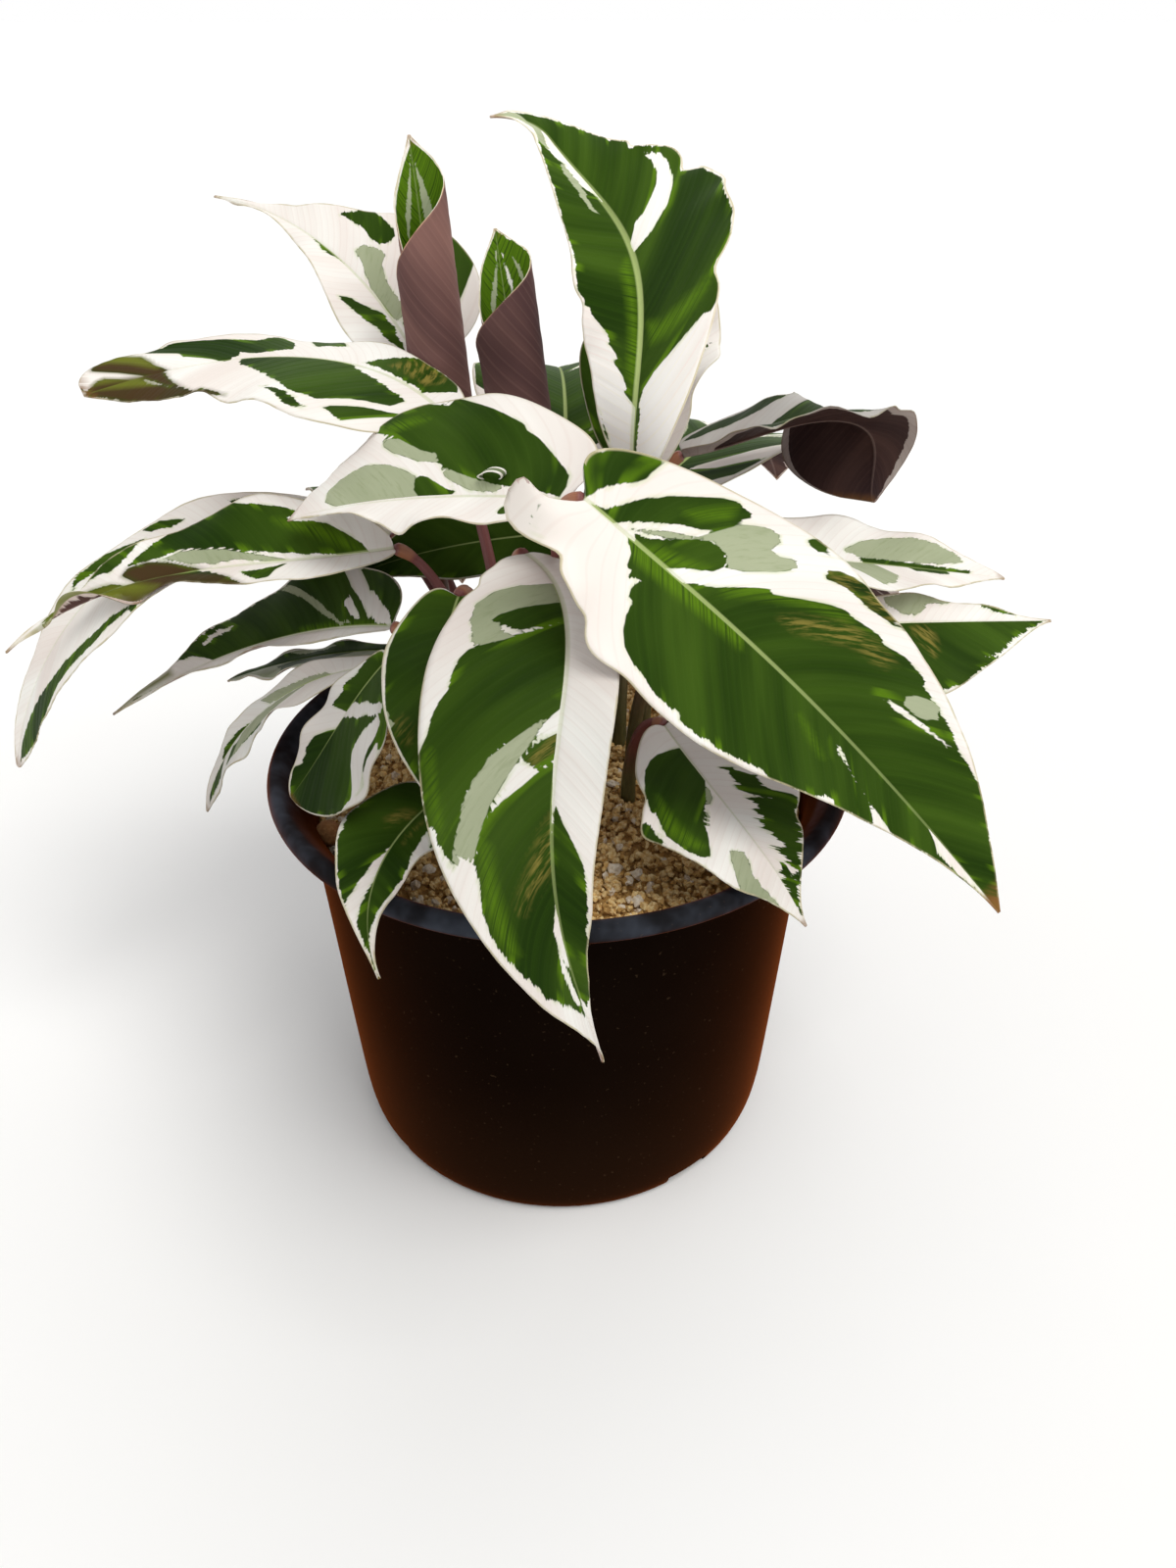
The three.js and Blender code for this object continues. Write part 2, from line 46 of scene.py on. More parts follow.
# One row a leaf, as in the part's source. foot is where the petiole leaves the soil,
# base where the blade begins. heading, pitch and roll have one value, or those at the
# base, the middle and the tip. Pairs are for the left and the right half.
DEFAULTS = dict(roll=[0], belly=[0.38, 0.38], full=0.62, fold=[12, 12], curl=[-0.4, -0.4],
                lobe=[3, 3], wave=[1, 3], hook=[0, 0], joint=25)
LEAVES = {
    "front_right": dict(foot=[6, 8], base=[6, -39, 198], length=133, heading=[18, -21, -38],
        pitch=[-44, -40, -39], roll=[44], width=[29, 28], belly=[0.41, 0.29], full=0.72,
        fold=[8, 12], lobe=[9, 16], joint=60),
    "front": dict(foot=[-4, -20], base=[-7, -21, 179], length=124, heading=[-46, -98, 3],
        pitch=[-9, -45, -76], roll=[3, -1, -13], width=[11, 29], belly=[0.37, 0.37], full=0.73,
        fold=[9, 12], lobe=[0, 3], joint=35),
    "centre_left": dict(foot=[-5, -3], base=[2, -26, 193], length=84, heading=[139, 154, 139],
        pitch=[-8, -12, -24], roll=[-22, -32, -22], width=[10, 30], belly=[0.27, 0.43],
        full=0.58, fold=[14, 9], lobe=[3, 6], joint=32),
    "left": dict(foot=[-18, 4], base=[-42, 18, 165], length=119, heading=[200, 168, 185],
        pitch=[-1, -14, -39], roll=[-18], width=[10, 20], belly=[0.21, 0.3], full=0.93,
        fold=[14, 21], wave=[2, 3]),
    "far_left": dict(foot=[-20, 16], base=[-46, 41, 160], length=152,
        heading=[-181, -174, -160], pitch=[23, -32, -73], roll=[-14, -20, -22], width=[23, 9],
        belly=[0.51, 0.44], full=0.68, fold=[10, 18]),
    "lower_left": dict(foot=[-22, -2], base=[-42, 1, 151], length=103, heading=[146, 161, 183],
        pitch=[-13, -24, -32], roll=[-19], width=[4, 21], belly=[0.27, 0.28], full=0.66,
        fold=[5, 18]),
    "low_left": dict(foot=[-25, -8], base=[-45, -2, 141], length=71, heading=[161, 187, 214],
        pitch=[-10, -37, -73], roll=[-4, -5, -7], width=[13, 7], belly=[0.41, 0.35], full=0.62),
    "small_left": dict(foot=[-27, 4], base=[-45, 13, 138], length=60, heading=[149, 157, 162],
        pitch=[-13, -20, -26], roll=[-3], width=[13, 5], belly=[0.39, 0.41], full=0.62),
    "rim_left": dict(foot=[-26, -16], base=[-41, -18, 151], length=42,
        heading=[-158, -156, -153], pitch=[-40, -52, -45], roll=[-3, -7, -9], width=[27, 9],
        belly=[0.52, 0.47], full=0.64),
    "rim_front_left": dict(foot=[-20, -27], base=[-29, -39, 125], length=52,
        heading=[-139, -103, -63], pitch=[-15, -17, -23], roll=[4], width=[12, 14],
        belly=[0.23, 0.24], full=0.66),
    "inner_front": dict(foot=[-14, -14], base=[-23, -17, 167], length=52,
        heading=[-111, -94, -74], pitch=[-35, -48, -60], roll=[-2], width=[18, 13],
        belly=[0.38, 0.39], full=0.63),
    "inner_left": dict(foot=[-3, 14], base=[5, 31, 164], length=60, heading=[178, 180, 184],
        pitch=[-4, -10, -20], roll=[-38], width=[12, 14], joint=60),
    "rim_right": dict(foot=[18, -10], base=[26, -20, 133], length=66, heading=[-52, -63, -81],
        pitch=[-32, -14, -7], roll=[-9, -1, 0], width=[21, 24], belly=[0.3, 0.4], full=0.83,
        fold=[13, 13]),
    "right_upper": dict(foot=[20, 6], base=[47, 7, 168], length=75, heading=[14, 9, 5],
        pitch=[-13, -10, -10], roll=[12], width=[17, 15], belly=[0.41, 0.36], full=0.63),
    "right_lower": dict(foot=[26, 0], base=[65, -1, 150], length=68, heading=[8, 11, 11],
        pitch=[1, -5, -5], roll=[28], width=[8, 22], belly=[0.33, 0.33], full=0.7,
        fold=[12, 0]),
    "arched_right": dict(foot=[17, 17], base=[34, 37, 183], length=76, heading=[0, 10, 95],
        pitch=[6, 0, -136], roll=[10, 12, -8], width=[29, 14], belly=[0.6, 0.48], full=0.5,
        fold=[-6, 42]),
    "tall": dict(foot=[9, 2], base=[19, 5, 188], length=123, heading=[61, 104, 145],
        pitch=[106, 25, 58], roll=[-41, -38, -4], width=[16, 27], belly=[0.34, 0.34], full=0.64,
        hook=[60, -60], joint=10),
    "tall_rear": dict(foot=[11, 14], base=[23, 31, 181], length=64, heading=[59, 73, 83],
        pitch=[88, 42, -6], roll=[-4], width=[20, 15], belly=[0.44, 0.46], full=0.67, joint=10),
    "upper_left": dict(foot=[-30, 28], base=[-38, 76, 197], length=89, heading=[144, 143, 148],
        pitch=[56, 25, 3], roll=[-29], width=[14, 29], belly=[0.19, 0.21], full=0.7, joint=90),
    "long_left": dict(foot=[-12, 8], base=[-27, 30, 195], length=109, heading=[130, 169, 214],
        pitch=[24, -2, -10], roll=[-7, -4, -21], width=[31, 16], belly=[0.32, 0.53], full=0.41,
        fold=[2, 5], lobe=[1, 2], joint=36),
    "furled_left": dict(foot=[-14, 34], base=[-30, 73, 171], length=84, heading=[153],
        pitch=[85], roll=[-61], width=[17, 42], belly=[0.42, 0.42], full=0.9, fold=[1, -1],
        curl=[9.5, 7.3], lobe=[0, 0], joint=0),
    "furled_right": dict(foot=[-3, 24], base=[-7, 50, 174], length=62, heading=[139],
        pitch=[81], roll=[-49], width=[16, 41], belly=[0.42, 0.42], full=0.9, fold=[0, 0],
        curl=[9.2, 7], lobe=[0, 0], joint=0),
    "back_right": dict(foot=[14, 26], base=[24, 48, 165], length=112, heading=[50, 58, 66],
        pitch=[25, -12, -50], width=[26, 26]),
    "back": dict(foot=[2, 34], base=[3, 62, 172], length=118, heading=[88, 93, 98],
        pitch=[28, -5, -48], width=[28, 28]),
    "back_left": dict(foot=[-20, 31], base=[-36, 58, 150], length=86, heading=[118, 120, 121],
        pitch=[22, -10, -48], roll=[1], width=[24, 24], lobe=[3, 2]),
    "low_back": dict(foot=[-6, 38], base=[-8, 56, 138], length=92, heading=[106, 110, 116],
        pitch=[20, -22, -62], width=[21, 21]),
    "low_back_right": dict(foot=[24, 19], base=[36, 32, 146], length=96, heading=[28, 30, 36],
        pitch=[18, -20, -60], width=[21, 21]),
}

# Blades. The drawn ones are thinner than the solids that they take the place of.
CAD_THICKNESS, BLADE_THICKNESS, MARGIN_THICKNESS = 0.8, 0.5, 0.26
BLADE_END_WIDTH = 0.35
HOOK_START = 0.86
LOBE_REACH = 0.06
WAVE_LAG = 2.0
RIB_STEPS = 96
HALF_COLUMNS, EXTRA_ROWS = 24, 20
ROW_CROWDING, COLUMN_CROWDING = 0.4, 1.25
END_FADE = 12
QUILT_HEIGHT, QUILT_SPACING, QUILT_START = 0.045, 5.2, 4
RUFFLE_HEIGHT, RUFFLE_WIDTH = 0.3, 10
RIB_WIDTH, RIB_TAPER = 0.75, 0.5
GROOVE_DEPTH, RIDGE_HEIGHT = 0.25, 0.75
RIB_PALENESS = 0.75
DRY_START, DRY_SHARE, DRY_FADE = 0.965, 0.6, 40
CURL_POINTS, CURL_COLUMNS, CURL_THICKNESS = 40, 7, 0.3

# Petioles.
STEM_GAP = 0.3
STEM_STEPS, STEM_SIDES = 64, 20
STEM_FOOT_RADIUS, STEM_TOP_RADIUS = 2.0, 1.25
JOINT_START, JOINT_SWELL = 0.86, 0.45
STEM_DEPTHS = (20, 8, 0)
CHANNEL_DEPTH, CHANNEL_WIDTH, CHANNEL_END = 0.16, 0.09, 0.84

# Pot and soil. The profiles are radius and height.
POT_OUTSIDE = [(0, 0), (59.5, 0), (60.7, 1.4), (61.9, 6), (63, 18), (68, 106), (69.5, 108.5),
               (76, 111), (77.1, 111.6), (77.5, 113.5), (76.5, 115.5), (75.3, 116)]
POT_INSIDE = [(73, 115.4), (67.2, 108), (66.2, 104), (61.2, 18), (59.9, 7), (57.5, 3), (0, 3)]
POT_SIDES = 192
NOTCHES, FIRST_NOTCH = 4, 35
NOTCH_PLACE, NOTCH_WIDTH, NOTCH_HEIGHT = 60.5, 14, 8
SOIL_HEIGHT, SOIL_MOUND, SOIL_GRAIN = 104.0, 4.0, 0.9
SOIL_RADIUS, SOIL_EDGE, SOIL_ROUGHNESS = 65.4, 68, 0.7
SOIL_WALL = [(60, 18.0), (57, 3.4)]
SOIL_RINGS, SOIL_SPOKES = 60, 160
GRAIN_SPREAD, GRAIN_CLEAR, GRAIN_RISE = 65.0, 2.6, 0.15

# Stage, in metres. A lamp has a direction, a strength, a spread in degrees and a colour.
EYE, EYE_YAW, EYE_PITCH = (0.0, -0.272, 0.281), 1.63, 33.2
LENS, SENSOR = 27.045, 36.0
FLOOR_RADIUS, FLOOR_SIDES, FLOOR_LEVEL = 60.0, 96, -0.0002
SKY = 0.4
LAMPS = {
    "key": ((0.5, -0.45, 1.3), 1.75, 38, (1.0, 0.98, 0.95)),
    "back": ((0.3, 1.2, 1.3), 0.5, 50, (1.0, 1.0, 1.0)),
}

# Places where a margin is drawn in or out: half, place along the blade, reach along it
# and share of the half-width.
NICKS = {
    "tall": [(1, 0.37, 0.05, -0.05), (1, 0.30, 0.02, 0.1), (1, 0.47, 0.035, -0.05),
             (1, 0.57, 0.022, 0.13), (1, 0.64, 0.03, -0.04), (1, 0.71, 0.02, 0.12),
             (1, 0.83, 0.04, -0.12), (0, 0.94, 0.03, -0.25),
             (1, 0.97, 0.025, -0.5), (0, 0.3, 0.04, -0.08), (0, 0.4, 0.03, 0.08)],
    "tall_rear": [(1, 0.3, 0.05, 0.12), (1, 0.45, 0.04, -0.08)],
    "upper_left": [(1, 0.86, 0.06, -0.7), (0, 0.9, 0.05, -0.8), (1, 0.68, 0.05, 0.2)],
    "front_right": [(1, 0.045, 0.018, -0.5), (1, 0.083, 0.015, 0.14), (1, 0.12, 0.015, -0.04),
                    (1, 0.15, 0.012, 0.05), (1, 0.19, 0.03, -0.05), (0, 0.5, 0.04, 0.03)],
    "left": [(0, 0.6, 0.13, -0.45), (0, 0.8, 0.13, -0.75)],
    "front": [(1, 0.05, 0.02, 0.06), (1, 0.11, 0.02, 0.07), (0, 0.8, 0.05, 0.15)],
    "centre_left": [(0, 0.35, 0.05, 0.2), (0, 0.52, 0.05, -0.2)],
    "lower_left": [(0, 0.4, 0.06, -0.3), (1, 0.8, 0.05, 0.15)],
    "low_left": [(0, 0.55, 0.05, 0.15), (1, 0.62, 0.04, 0.15)],
    "rim_right": [(1, 0.3, 0.04, 0.08), (1, 0.42, 0.04, -0.06), (0, 0.55, 0.04, 0.1)],
    "arched_right": [(0, 0.44, 0.1, 0.28), (1, 0.3, 0.04, -0.2), (1, 0.41, 0.04, 0.1),
                     (1, 0.52, 0.05, -0.35), (1, 0.66, 0.03, 0.15)],
    "long_left": [(0, 0.7, 0.05, 0.2), (1, 0.5, 0.04, 0.15), (1, 0.78, 0.04, -0.2)],
}

# Places where a margin curls up or down: half, place along the blade, reach along it and
# height in millimetres.
FRILLS = {
    "front_right": [(1, 0.04, 0.02, 2.0), (1, 0.075, 0.018, -2.4), (1, 0.12, 0.02, 2.2),
                    (1, 0.175, 0.025, -1.4), (1, 0.24, 0.03, 1.0)],
    "arched_right": [(1, 0.2, 0.04, 1.0), (1, 0.33, 0.04, -1.6), (1, 0.45, 0.04, 1.8),
                     (1, 0.58, 0.04, -1.8), (1, 0.7, 0.04, 1.4), (0, 0.6, 0.08, 1.5)],
    "tall": [(1, 0.43, 0.03, 1.6), (1, 0.57, 0.03, -1.8), (1, 0.71, 0.03, 1.6),
             (0, 0.3, 0.05, -1.2), (0, 0.5, 0.05, 1.2)],
    "tall_rear": [(1, 0.35, 0.06, 2.0), (1, 0.55, 0.06, -2.0)],
    "centre_left": [(0, 0.3, 0.05, 1.4), (0, 0.48, 0.05, -1.6), (0, 0.66, 0.05, 1.2)],
    "left": [(0, 0.25, 0.05, 1.2), (0, 0.4, 0.05, -1.2)],
    "rim_right": [(1, 0.25, 0.05, 1.6), (1, 0.45, 0.05, -1.4)],
    "lower_left": [(1, 0.35, 0.06, 1.5), (1, 0.6, 0.06, -1.5), (0, 0.5, 0.06, 1.0)],
    "low_left": [(0, 0.4, 0.06, 1.5), (0, 0.65, 0.06, -1.5)],
}

# The marbling of each half of a blade: its base colour, the width of its cream rim, how
# ragged its edges are, and its patches. A patch is a colour and its corners, as u,v in
# percent. The lateral veins leave the midrib steeply at the base and lean forward towards
# the tip. u is the place, as a share of the leaf's length, where the vein through a point
# leaves the midrib; v runs from 0 at the midrib to 100 at the margin, and corners outside
# that range carry a patch on to the midrib or the margin. A later patch covers an earlier
# one, but lime, tan, brown, olive and the dark green tint listed in SOFT are thin tints over
# the rest. The dark green tint is painted shade, where a patch lies in shade; tan is golden
# flecks and a painted golden sheen.
MARKS = {
    "front_right": [
        ("white", 0, 0.6, """
        green 0,-10 -0.2,112 0.3,112 0.8,112 2.5,95 3.4,112 4.3,112 5.2,112 6.1,93 6.6,75 6,65
            4.1,55 1.8,41 -0.1,75
        green 0.7,-10 4,13 5.9,30 10.1,74 11.2,90 11.9,93 12.9,89 14.1,88 14.4,84 14.6,78
            15.4,71 15.9,60 15.1,51 13.8,46 12.1,38 7.5,11 5.1,-10 2.7,-10
        grey 16,54 15.7,66 15.4,76 16,85 17.7,84 18.7,80 20,69 21.3,69 21.9,74 23.7,68 24.2,58
            23.5,39 22.4,34 20.3,43 17.6,49 14.2,25 9.1,9 13.7,33 16.1,43
        green 10.1,8 12.6,14 14.5,24 16.1,38 17.2,45 18.6,46 19.7,44 22.2,33 22.3,24 20.7,16
            16.2,-10 13.3,-10
        green 20.4,-10 25.4,18 27.1,38 27.8,44 28.4,39 30.3,63 31.1,70 32.3,71 32.7,71 35.4,79
            37,76 38.6,84 40.5,88 42.7,89 44.4,85 52.9,88 57.5,86 62.7,93 69.2,112 81,112
            87.7,112 99.1,112 100,-10 64.7,-10 45.7,-10
        deep 23.4,83 23.3,90 24,95 28.2,112 31.4,112 36.2,112 28.3,85 26.2,83 25.1,79
        green 15.8,112 17.7,112 20,94 20.5,112 20.3,91 18.3,93
        green 23.4,83 23.3,90 24,95 28.2,112 31.4,112 36.2,112 29.9,86 28.3,85 26.2,83 25.1,79
        white 48.7,48 52.4,59 57.8,79 60.3,81 58.3,75 52.1,48
        grey 48.4,65 47.4,75 47.6,85 49.1,89 52.1,80 53.2,68 52.1,60 50.5,60
        lime 12,58 12.5,88 14.4,73 13.6,58
        lime 11.3,-10 14.7,14 18.8,18 22,26 20.7,16 16.2,-10
        tan 33.3,31 33.9,48 34.5,64 36.1,71 41,74 42.4,65 38.4,55 37.6,39 35.8,30
        tan 23.4,83 23.3,90 24,95 28.2,112 31.4,112 36.2,112 26.2,83
        lime 25.4,18 27.8,44 30.3,63 32.7,71 33.7,66 31.3,51 29.3,35 27.2,16"""),
        ("white", 0, 0.6, """
        green 9.5,-10 9.7,9 10.6,16 10.2,33 11.2,30 10.5,40 13.1,29 11.4,43 10.9,53 11.9,50
            10.6,64 10.1,75 10,84 11,88 14.5,91 17,91 19.3,89 18.4,94 20.6,94 29.1,95 37.2,93
            43.4,112 47.4,112 52.1,90 54.8,90 54.2,112 66.4,112 82,112 98.5,-10 99.5,56
            64.7,-10 45.7,-10 27.2,-10
        white 57.7,15 57.9,26 65,59 65.9,112 66,112 71.9,112 65,56 61.8,39 58.6,16
        white 61.2,-10 69.5,-10 80.3,-10 82.7,20 83.2,65 90.6,88 99,-10 99.4,6 95.2,-10
            80.7,-10 70.7,-10 61.5,-10
        green 0.5,112 0.3,112 0.5,112 1.5,112 2,94 1.5,112 0.6,112
        lime 9.5,-10 19.4,-10 36.9,-10 35,11 12.6,20 9.9,20
        lime 48.7,21 51,26 53.4,44 50.9,35""")],
    "front": [
        ("white", 0, 0.7, """
        green 53.3,6 57.1,58 58.8,75 62.4,84 72.6,85 83.6,112 87.2,30 85.5,-10 82,-10 74.5,-10
            69,-10 63.2,-10"""),
        ("white", 0, 0.8, """
        grey 7.5,84 7,71 8.1,43 10.6,-10 12.7,-10 21.2,-10 18.7,16 19.5,15 19,34 16.2,68
            14.1,75 12.9,75 10.2,81 9.3,80
        white 14.4,53 17.5,40 18.2,29 19.4,14 19.8,15 18.8,34 17.1,48 14.7,56
        green 12.7,64 12.2,58 12.9,43 15.5,-10 19.2,-10 19.4,14 18.2,29 17.5,40 14.7,53
        green 16.7,79 15.8,74 19.7,-10 30,-10 35,-10 35.3,-10 37.4,6 38.2,15 38,26 36.6,38
            36.5,46 36.8,55 37.6,64 40.5,76 43,93 40.6,94 36.4,94 32.8,112 29.6,112 26.3,112
            24.1,94 22.2,91 21,86 20.4,81 18.9,81
        grey 39.8,16 38.9,40 38.6,51 40,60 42.1,68 44.2,75 44.8,88 43.3,91 38.7,68 37.3,60
            37.1,49 37.6,36
        green 41.3,-10 41.1,11 41.2,20 42.3,25 44.2,18 45.8,9 45.8,-10
        green 46.7,-10 46.2,13 46.3,24 45.4,38 45.2,50 46,60 48.2,68 50.3,73 55.2,86 58.1,88
            60.7,88 64.8,85 68.8,79 70.9,83 81.2,49 88.1,15 83.6,-10 78.4,10 74.7,13 70.5,8
            65.5,-10 60.2,-10 52.5,-10
        white 75,10 82,11 86.5,9 83.4,30 79.5,25 74.8,15
        tan 53.3,-10 56.5,5 60.4,30 61,45 62.4,43 63.8,6 61,-10
        tan 41.5,-10 41.8,18 42.9,20 44.8,13 45,-10
        lime 30,-10 31.7,-10 34.4,5 34.2,-10 32.2,-10
        lime 25.9,95 26.6,91 37.8,88 38.3,93 32.6,94
        lime 46.6,60 48.9,53 59.3,61 63.5,70 61.7,84 56.8,80 51.8,71
        grey 37.9,9 43.8,48 47.3,69 45.3,78 41.4,73 39.1,64 36.6,49 37,11""")],
    "tall": [
        ("green", 0.7, 0.6, """
        white 29.6,81 27.5,79 24.3,59 23.3,55 22.7,61 21,44 20.4,41 19.4,53 18,36 15.5,18
            14.8,30 12.5,-10 7,-10 1.2,-10 1.4,112 8.4,90 12.3,112 27.7,112
        white 90,-10 71.7,-10 62.2,-10 51.7,-10 51.4,-10 61.9,-10 69.5,19 84.4,69
        grey 77.9,29 70.8,19 61.5,26 58.9,20 60.4,34 73.5,44
        lime 45,11 37.3,8 27.8,5 19.7,-10 15.5,5 18.6,25 24.3,21 41.3,23
        grey 80,50 84,112 101,112 101,-10 90,-10 84,40"""),
        ("green", 0.5, 1, """
        white 15,16 15.4,31 12.5,84 10.8,95 10.9,112 9.6,112 7.1,112 6,112 4.6,112 3.2,112
            2.1,112 2.7,36 8.9,18 13.6,14
        white 48.3,-10 45,10 42.5,29 40.7,51 41,65 42.1,75 44.8,86 47.7,91 50.3,86 53.3,83
            49.8,76 47.5,68 46.9,56 47.4,43 48.2,31 50.2,14 49.6,6
        white 24.1,112 23,112 19.7,112 16.2,112 14.2,112 13.4,112 17.1,112
        lime 27.1,9 21.4,19 18.1,43 15.6,69 14.5,84 15.1,90 16.6,76 22.5,30
        lime 47.1,-10 40.6,-10 32.6,-10 24.3,-10 25,-10 42.2,-10
        grey 92,-10 92,112 101,112 101,-10""")],
    "centre_left": [
        ("white", 0, 0.3, """
        green 15,60 15.4,44 14.4,38 11.5,65 11.9,73 13.8,69"""),
        ("white", 0, 0.3, """
        green 2,9 2,35 2.8,49 5.3,54 8.3,68 9.8,71 9.5,76 13.8,86 17.5,112 19,95 19.7,93
            26.1,112 30,112 35.1,112 42.5,112 40.5,81 38.9,69 37.9,46 35,43 35.8,35 30.1,15
            25.9,11 12.7,11
        grey 42.3,73 38.6,64 36.5,46 33.6,41 34.8,31 40,35 44.2,50 44.4,63
        grey 35.2,28 28.6,17 24.3,13 18.8,10 23.1,4 29.8,5 33.8,11 36,18
        grey 55.1,48 49,38 45.8,28 44.2,20 46.3,14 47.3,6 44.5,-10 55.5,-10 61.7,-10 68.2,-10
            72.2,-10 79.5,14 75.4,35 67.8,46 60.9,49
        green 44.3,21 41.1,19 39.6,13 37.3,6 34.7,5 43,-10 46.4,-10 47.6,8 45.6,14
        lime 40.3,94 29.3,85 27.3,79 38.9,73""")],
    "rim_right": [
        ("white", 0.35, 2.4, """
        green 20.5,29 19.7,40 22,45 22.8,54 26.4,54 28.5,61 27.7,90 29.3,112 48.2,112 95.5,13
            86.7,-10 71.6,19 67.9,25 67.8,36 74.5,63 65,48 60.3,40 59.2,33 58.8,45 54.7,44
            54.7,35 51.2,45 49.8,29 46.1,24 42.6,40 42.8,29 38.7,30 35,28 32.7,56 32.4,33
            30.6,25 29.2,24 27.7,36 26.9,29"""),
        ("white", 0, 0.6, """
        green 10.2,13 6.9,61 6.3,75 6.4,84 7.5,89 9.2,93 13.6,90 14.9,85 20.7,85 25.2,86
            30.5,89 35.5,88 39.6,81 41.7,74 37.3,46 32.9,41 30.8,20 27.7,6 25,-10 20.5,-10
            16,-10 11.9,-10
        grey 28.1,8 30.8,6 33.4,10 33.6,19 31.7,24
        grey 32.4,28 35.3,28 36.8,38 35.1,41
        green 11.3,112 14.2,95 22.9,95 34.1,112 40.9,95 38.9,112 34.7,112 29,112 17.1,112
            12.9,112
        grey 49,41 52.5,36 55.7,23 63.1,46 84.3,112 77.4,112 67.7,112 61,112 51.4,56
        lime 13.8,75 20.5,69 37.8,64 36.2,76 29.4,84 22.5,83 17.2,83""")],
    "left": [
        ("white", 0, 0.5, """
        green 30.5,41 27.2,38 22,16 23,43 22.2,78 24.4,78 27.9,61
        green 63,-10 57.2,-10 51.7,-10 39.5,26 25,112 28.1,112 42.5,112 59.5,-10 62.7,-10
        green 87.1,112 83.3,15 73.6,112 69.7,-10 65.2,-10 60.5,21 50.7,112 58.1,112 73.3,13
            78.3,15 82.1,64 85.8,112
        brown 63,-10 58,-10 52.2,-10 33.5,84 26.4,112 26,112 44.8,112 56.4,81 63,-10
        olive 87.6,112 79.4,112 71,112 65,-10 53.6,74 47.6,112 61.7,112 77.1,14 86.8,112
        green 62.7,-10 61.2,-10 55.7,-10 51.2,-10 45.2,-10 33.4,59 23,112 29.4,112 47.1,112
            57.8,25
        brown 62.7,-10 61.2,-10 55.7,-10 51.2,-10 33.4,59 23,112 29.4,112 47.1,112 57.8,25
        green 86.5,112 86,-10 79.4,112 71.8,112 66.5,-10 60.7,-10 48.8,93 52.7,94 59.7,112
            64.7,112 73.3,15 85.5,112
        olive 86.5,112 86,-10 79.4,112 71.8,112 66.5,-10 60.7,-10 48.8,93 59.7,112 64.7,112
            73.3,15 85.5,112
        brown 60,42 50,55 42,84 31,104 25,113 26,180 43,150 53,160 61,230 66,230 62,60
        olive 60,50 61,230 68,230 90,230 86,110 76,24 66,24"""),
        ("white", 0, 0.45, """
        green 5.2,-10 6.2,25 7.7,43 10.5,64 12.7,64 16.2,60 17.2,64 13.3,75 15.1,80 18.4,83
            22.2,88 25.3,112 30.1,112 34.5,112 42.5,95 48.9,76 57.4,49 47.9,44 43.2,49 38.6,39
            33.8,29 30.5,21 22,11
        grey 17.2,-10 33,9 39.6,8 44,14 48.6,39 51.9,34 43.8,43 39,36 34.2,26
        grey 47.8,112 44.3,112 38.5,112 35,112 39.1,112 46.9,112
        green 70.3,112 64.2,112 58.5,112 52.4,112 46.9,112 51.3,88 58.1,65 62,61 67.1,93
            78.2,112 79.8,112 76,112
        lime 19.8,63 11.5,60 9.7,49 6.8,6 10.4,13 12.7,31 18.8,54
        green 60.8,31 58.2,44 52.6,41 49,29 44.6,8 38.5,-10 31,-10 38.7,-10 53.2,-10 59,-10
        brown 60.8,31 58.2,44 52.6,41 49,29 38.5,-10 31,-10 38.7,-10 53.2,-10 59,-10
        green 87.7,-10 85.2,41 79.7,85 73.1,48 65.4,20 60.7,-10 54.2,-10 57.2,-10 63.5,-10
            68.7,-10 73.5,-10 86.7,-10
        olive 87.7,-10 85.2,41 79.7,85 73.1,48 65.4,20 60.7,-10 54.2,-10 63.5,-10 68.7,-10
            73.5,-10 86.7,-10""")],
    "long_left": [
        ("white", 0, 0.7, """
        green 7.5,24 15.8,18 27.9,8 36.5,-10 46.5,-10 52.2,-10 61.7,-10 64,-10 56,18 30.6,60
            19.5,74 12.8,71 5.9,43
        green 8.9,79 3.3,51 -2.1,112 -0.7,112 2,91
        deep 29.1,75 23.6,76 18.1,79 8.5,88 11,90 14.4,91
        green 29.1,75 23.6,76 18.1,79 8.5,88 11,90 14.4,91
        green 84.2,-10 77.2,-10 74.2,-10 68,-10 57,-10 52.5,-10 50,-10 47.7,-10 47.5,-10
            57,-10 61,-10 63,-10 64.1,5 68.5,-10 74.7,-10 76.5,-10
        green 97,-10 94.2,-10 92.5,-10 85.5,-10 82,-10 72.9,33 65.3,58 56.7,78 65.3,65 82.4,15
            90.7,-10
        brown 97,-10 94.2,-10 92.5,-10 85.5,-10 82,-10 72.9,33 56.7,78 65.3,65 82.4,15
            90.7,-10
        green 100,-10 99.2,-10 96.2,-10 94.5,-10 91.2,-10 87.7,-10 79.5,34 53.5,81 51.8,75
            46.3,79 37.3,88 66.4,112 93.3,88 96.4,95 98.9,112
        brown 100,-10 99.2,-10 96.2,-10 94.5,-10 91.2,-10 53.5,81 51.8,75 46.3,79 37.3,88
            66.4,112 93.3,88 98.9,112
        olive 95.5,-10 94.2,-10 87.5,-10 85.5,-10 83.5,-10 81.7,-10 88,-10 92.5,-10
        olive 97.5,-10 94.5,-10 88,-10 74.7,45"""),
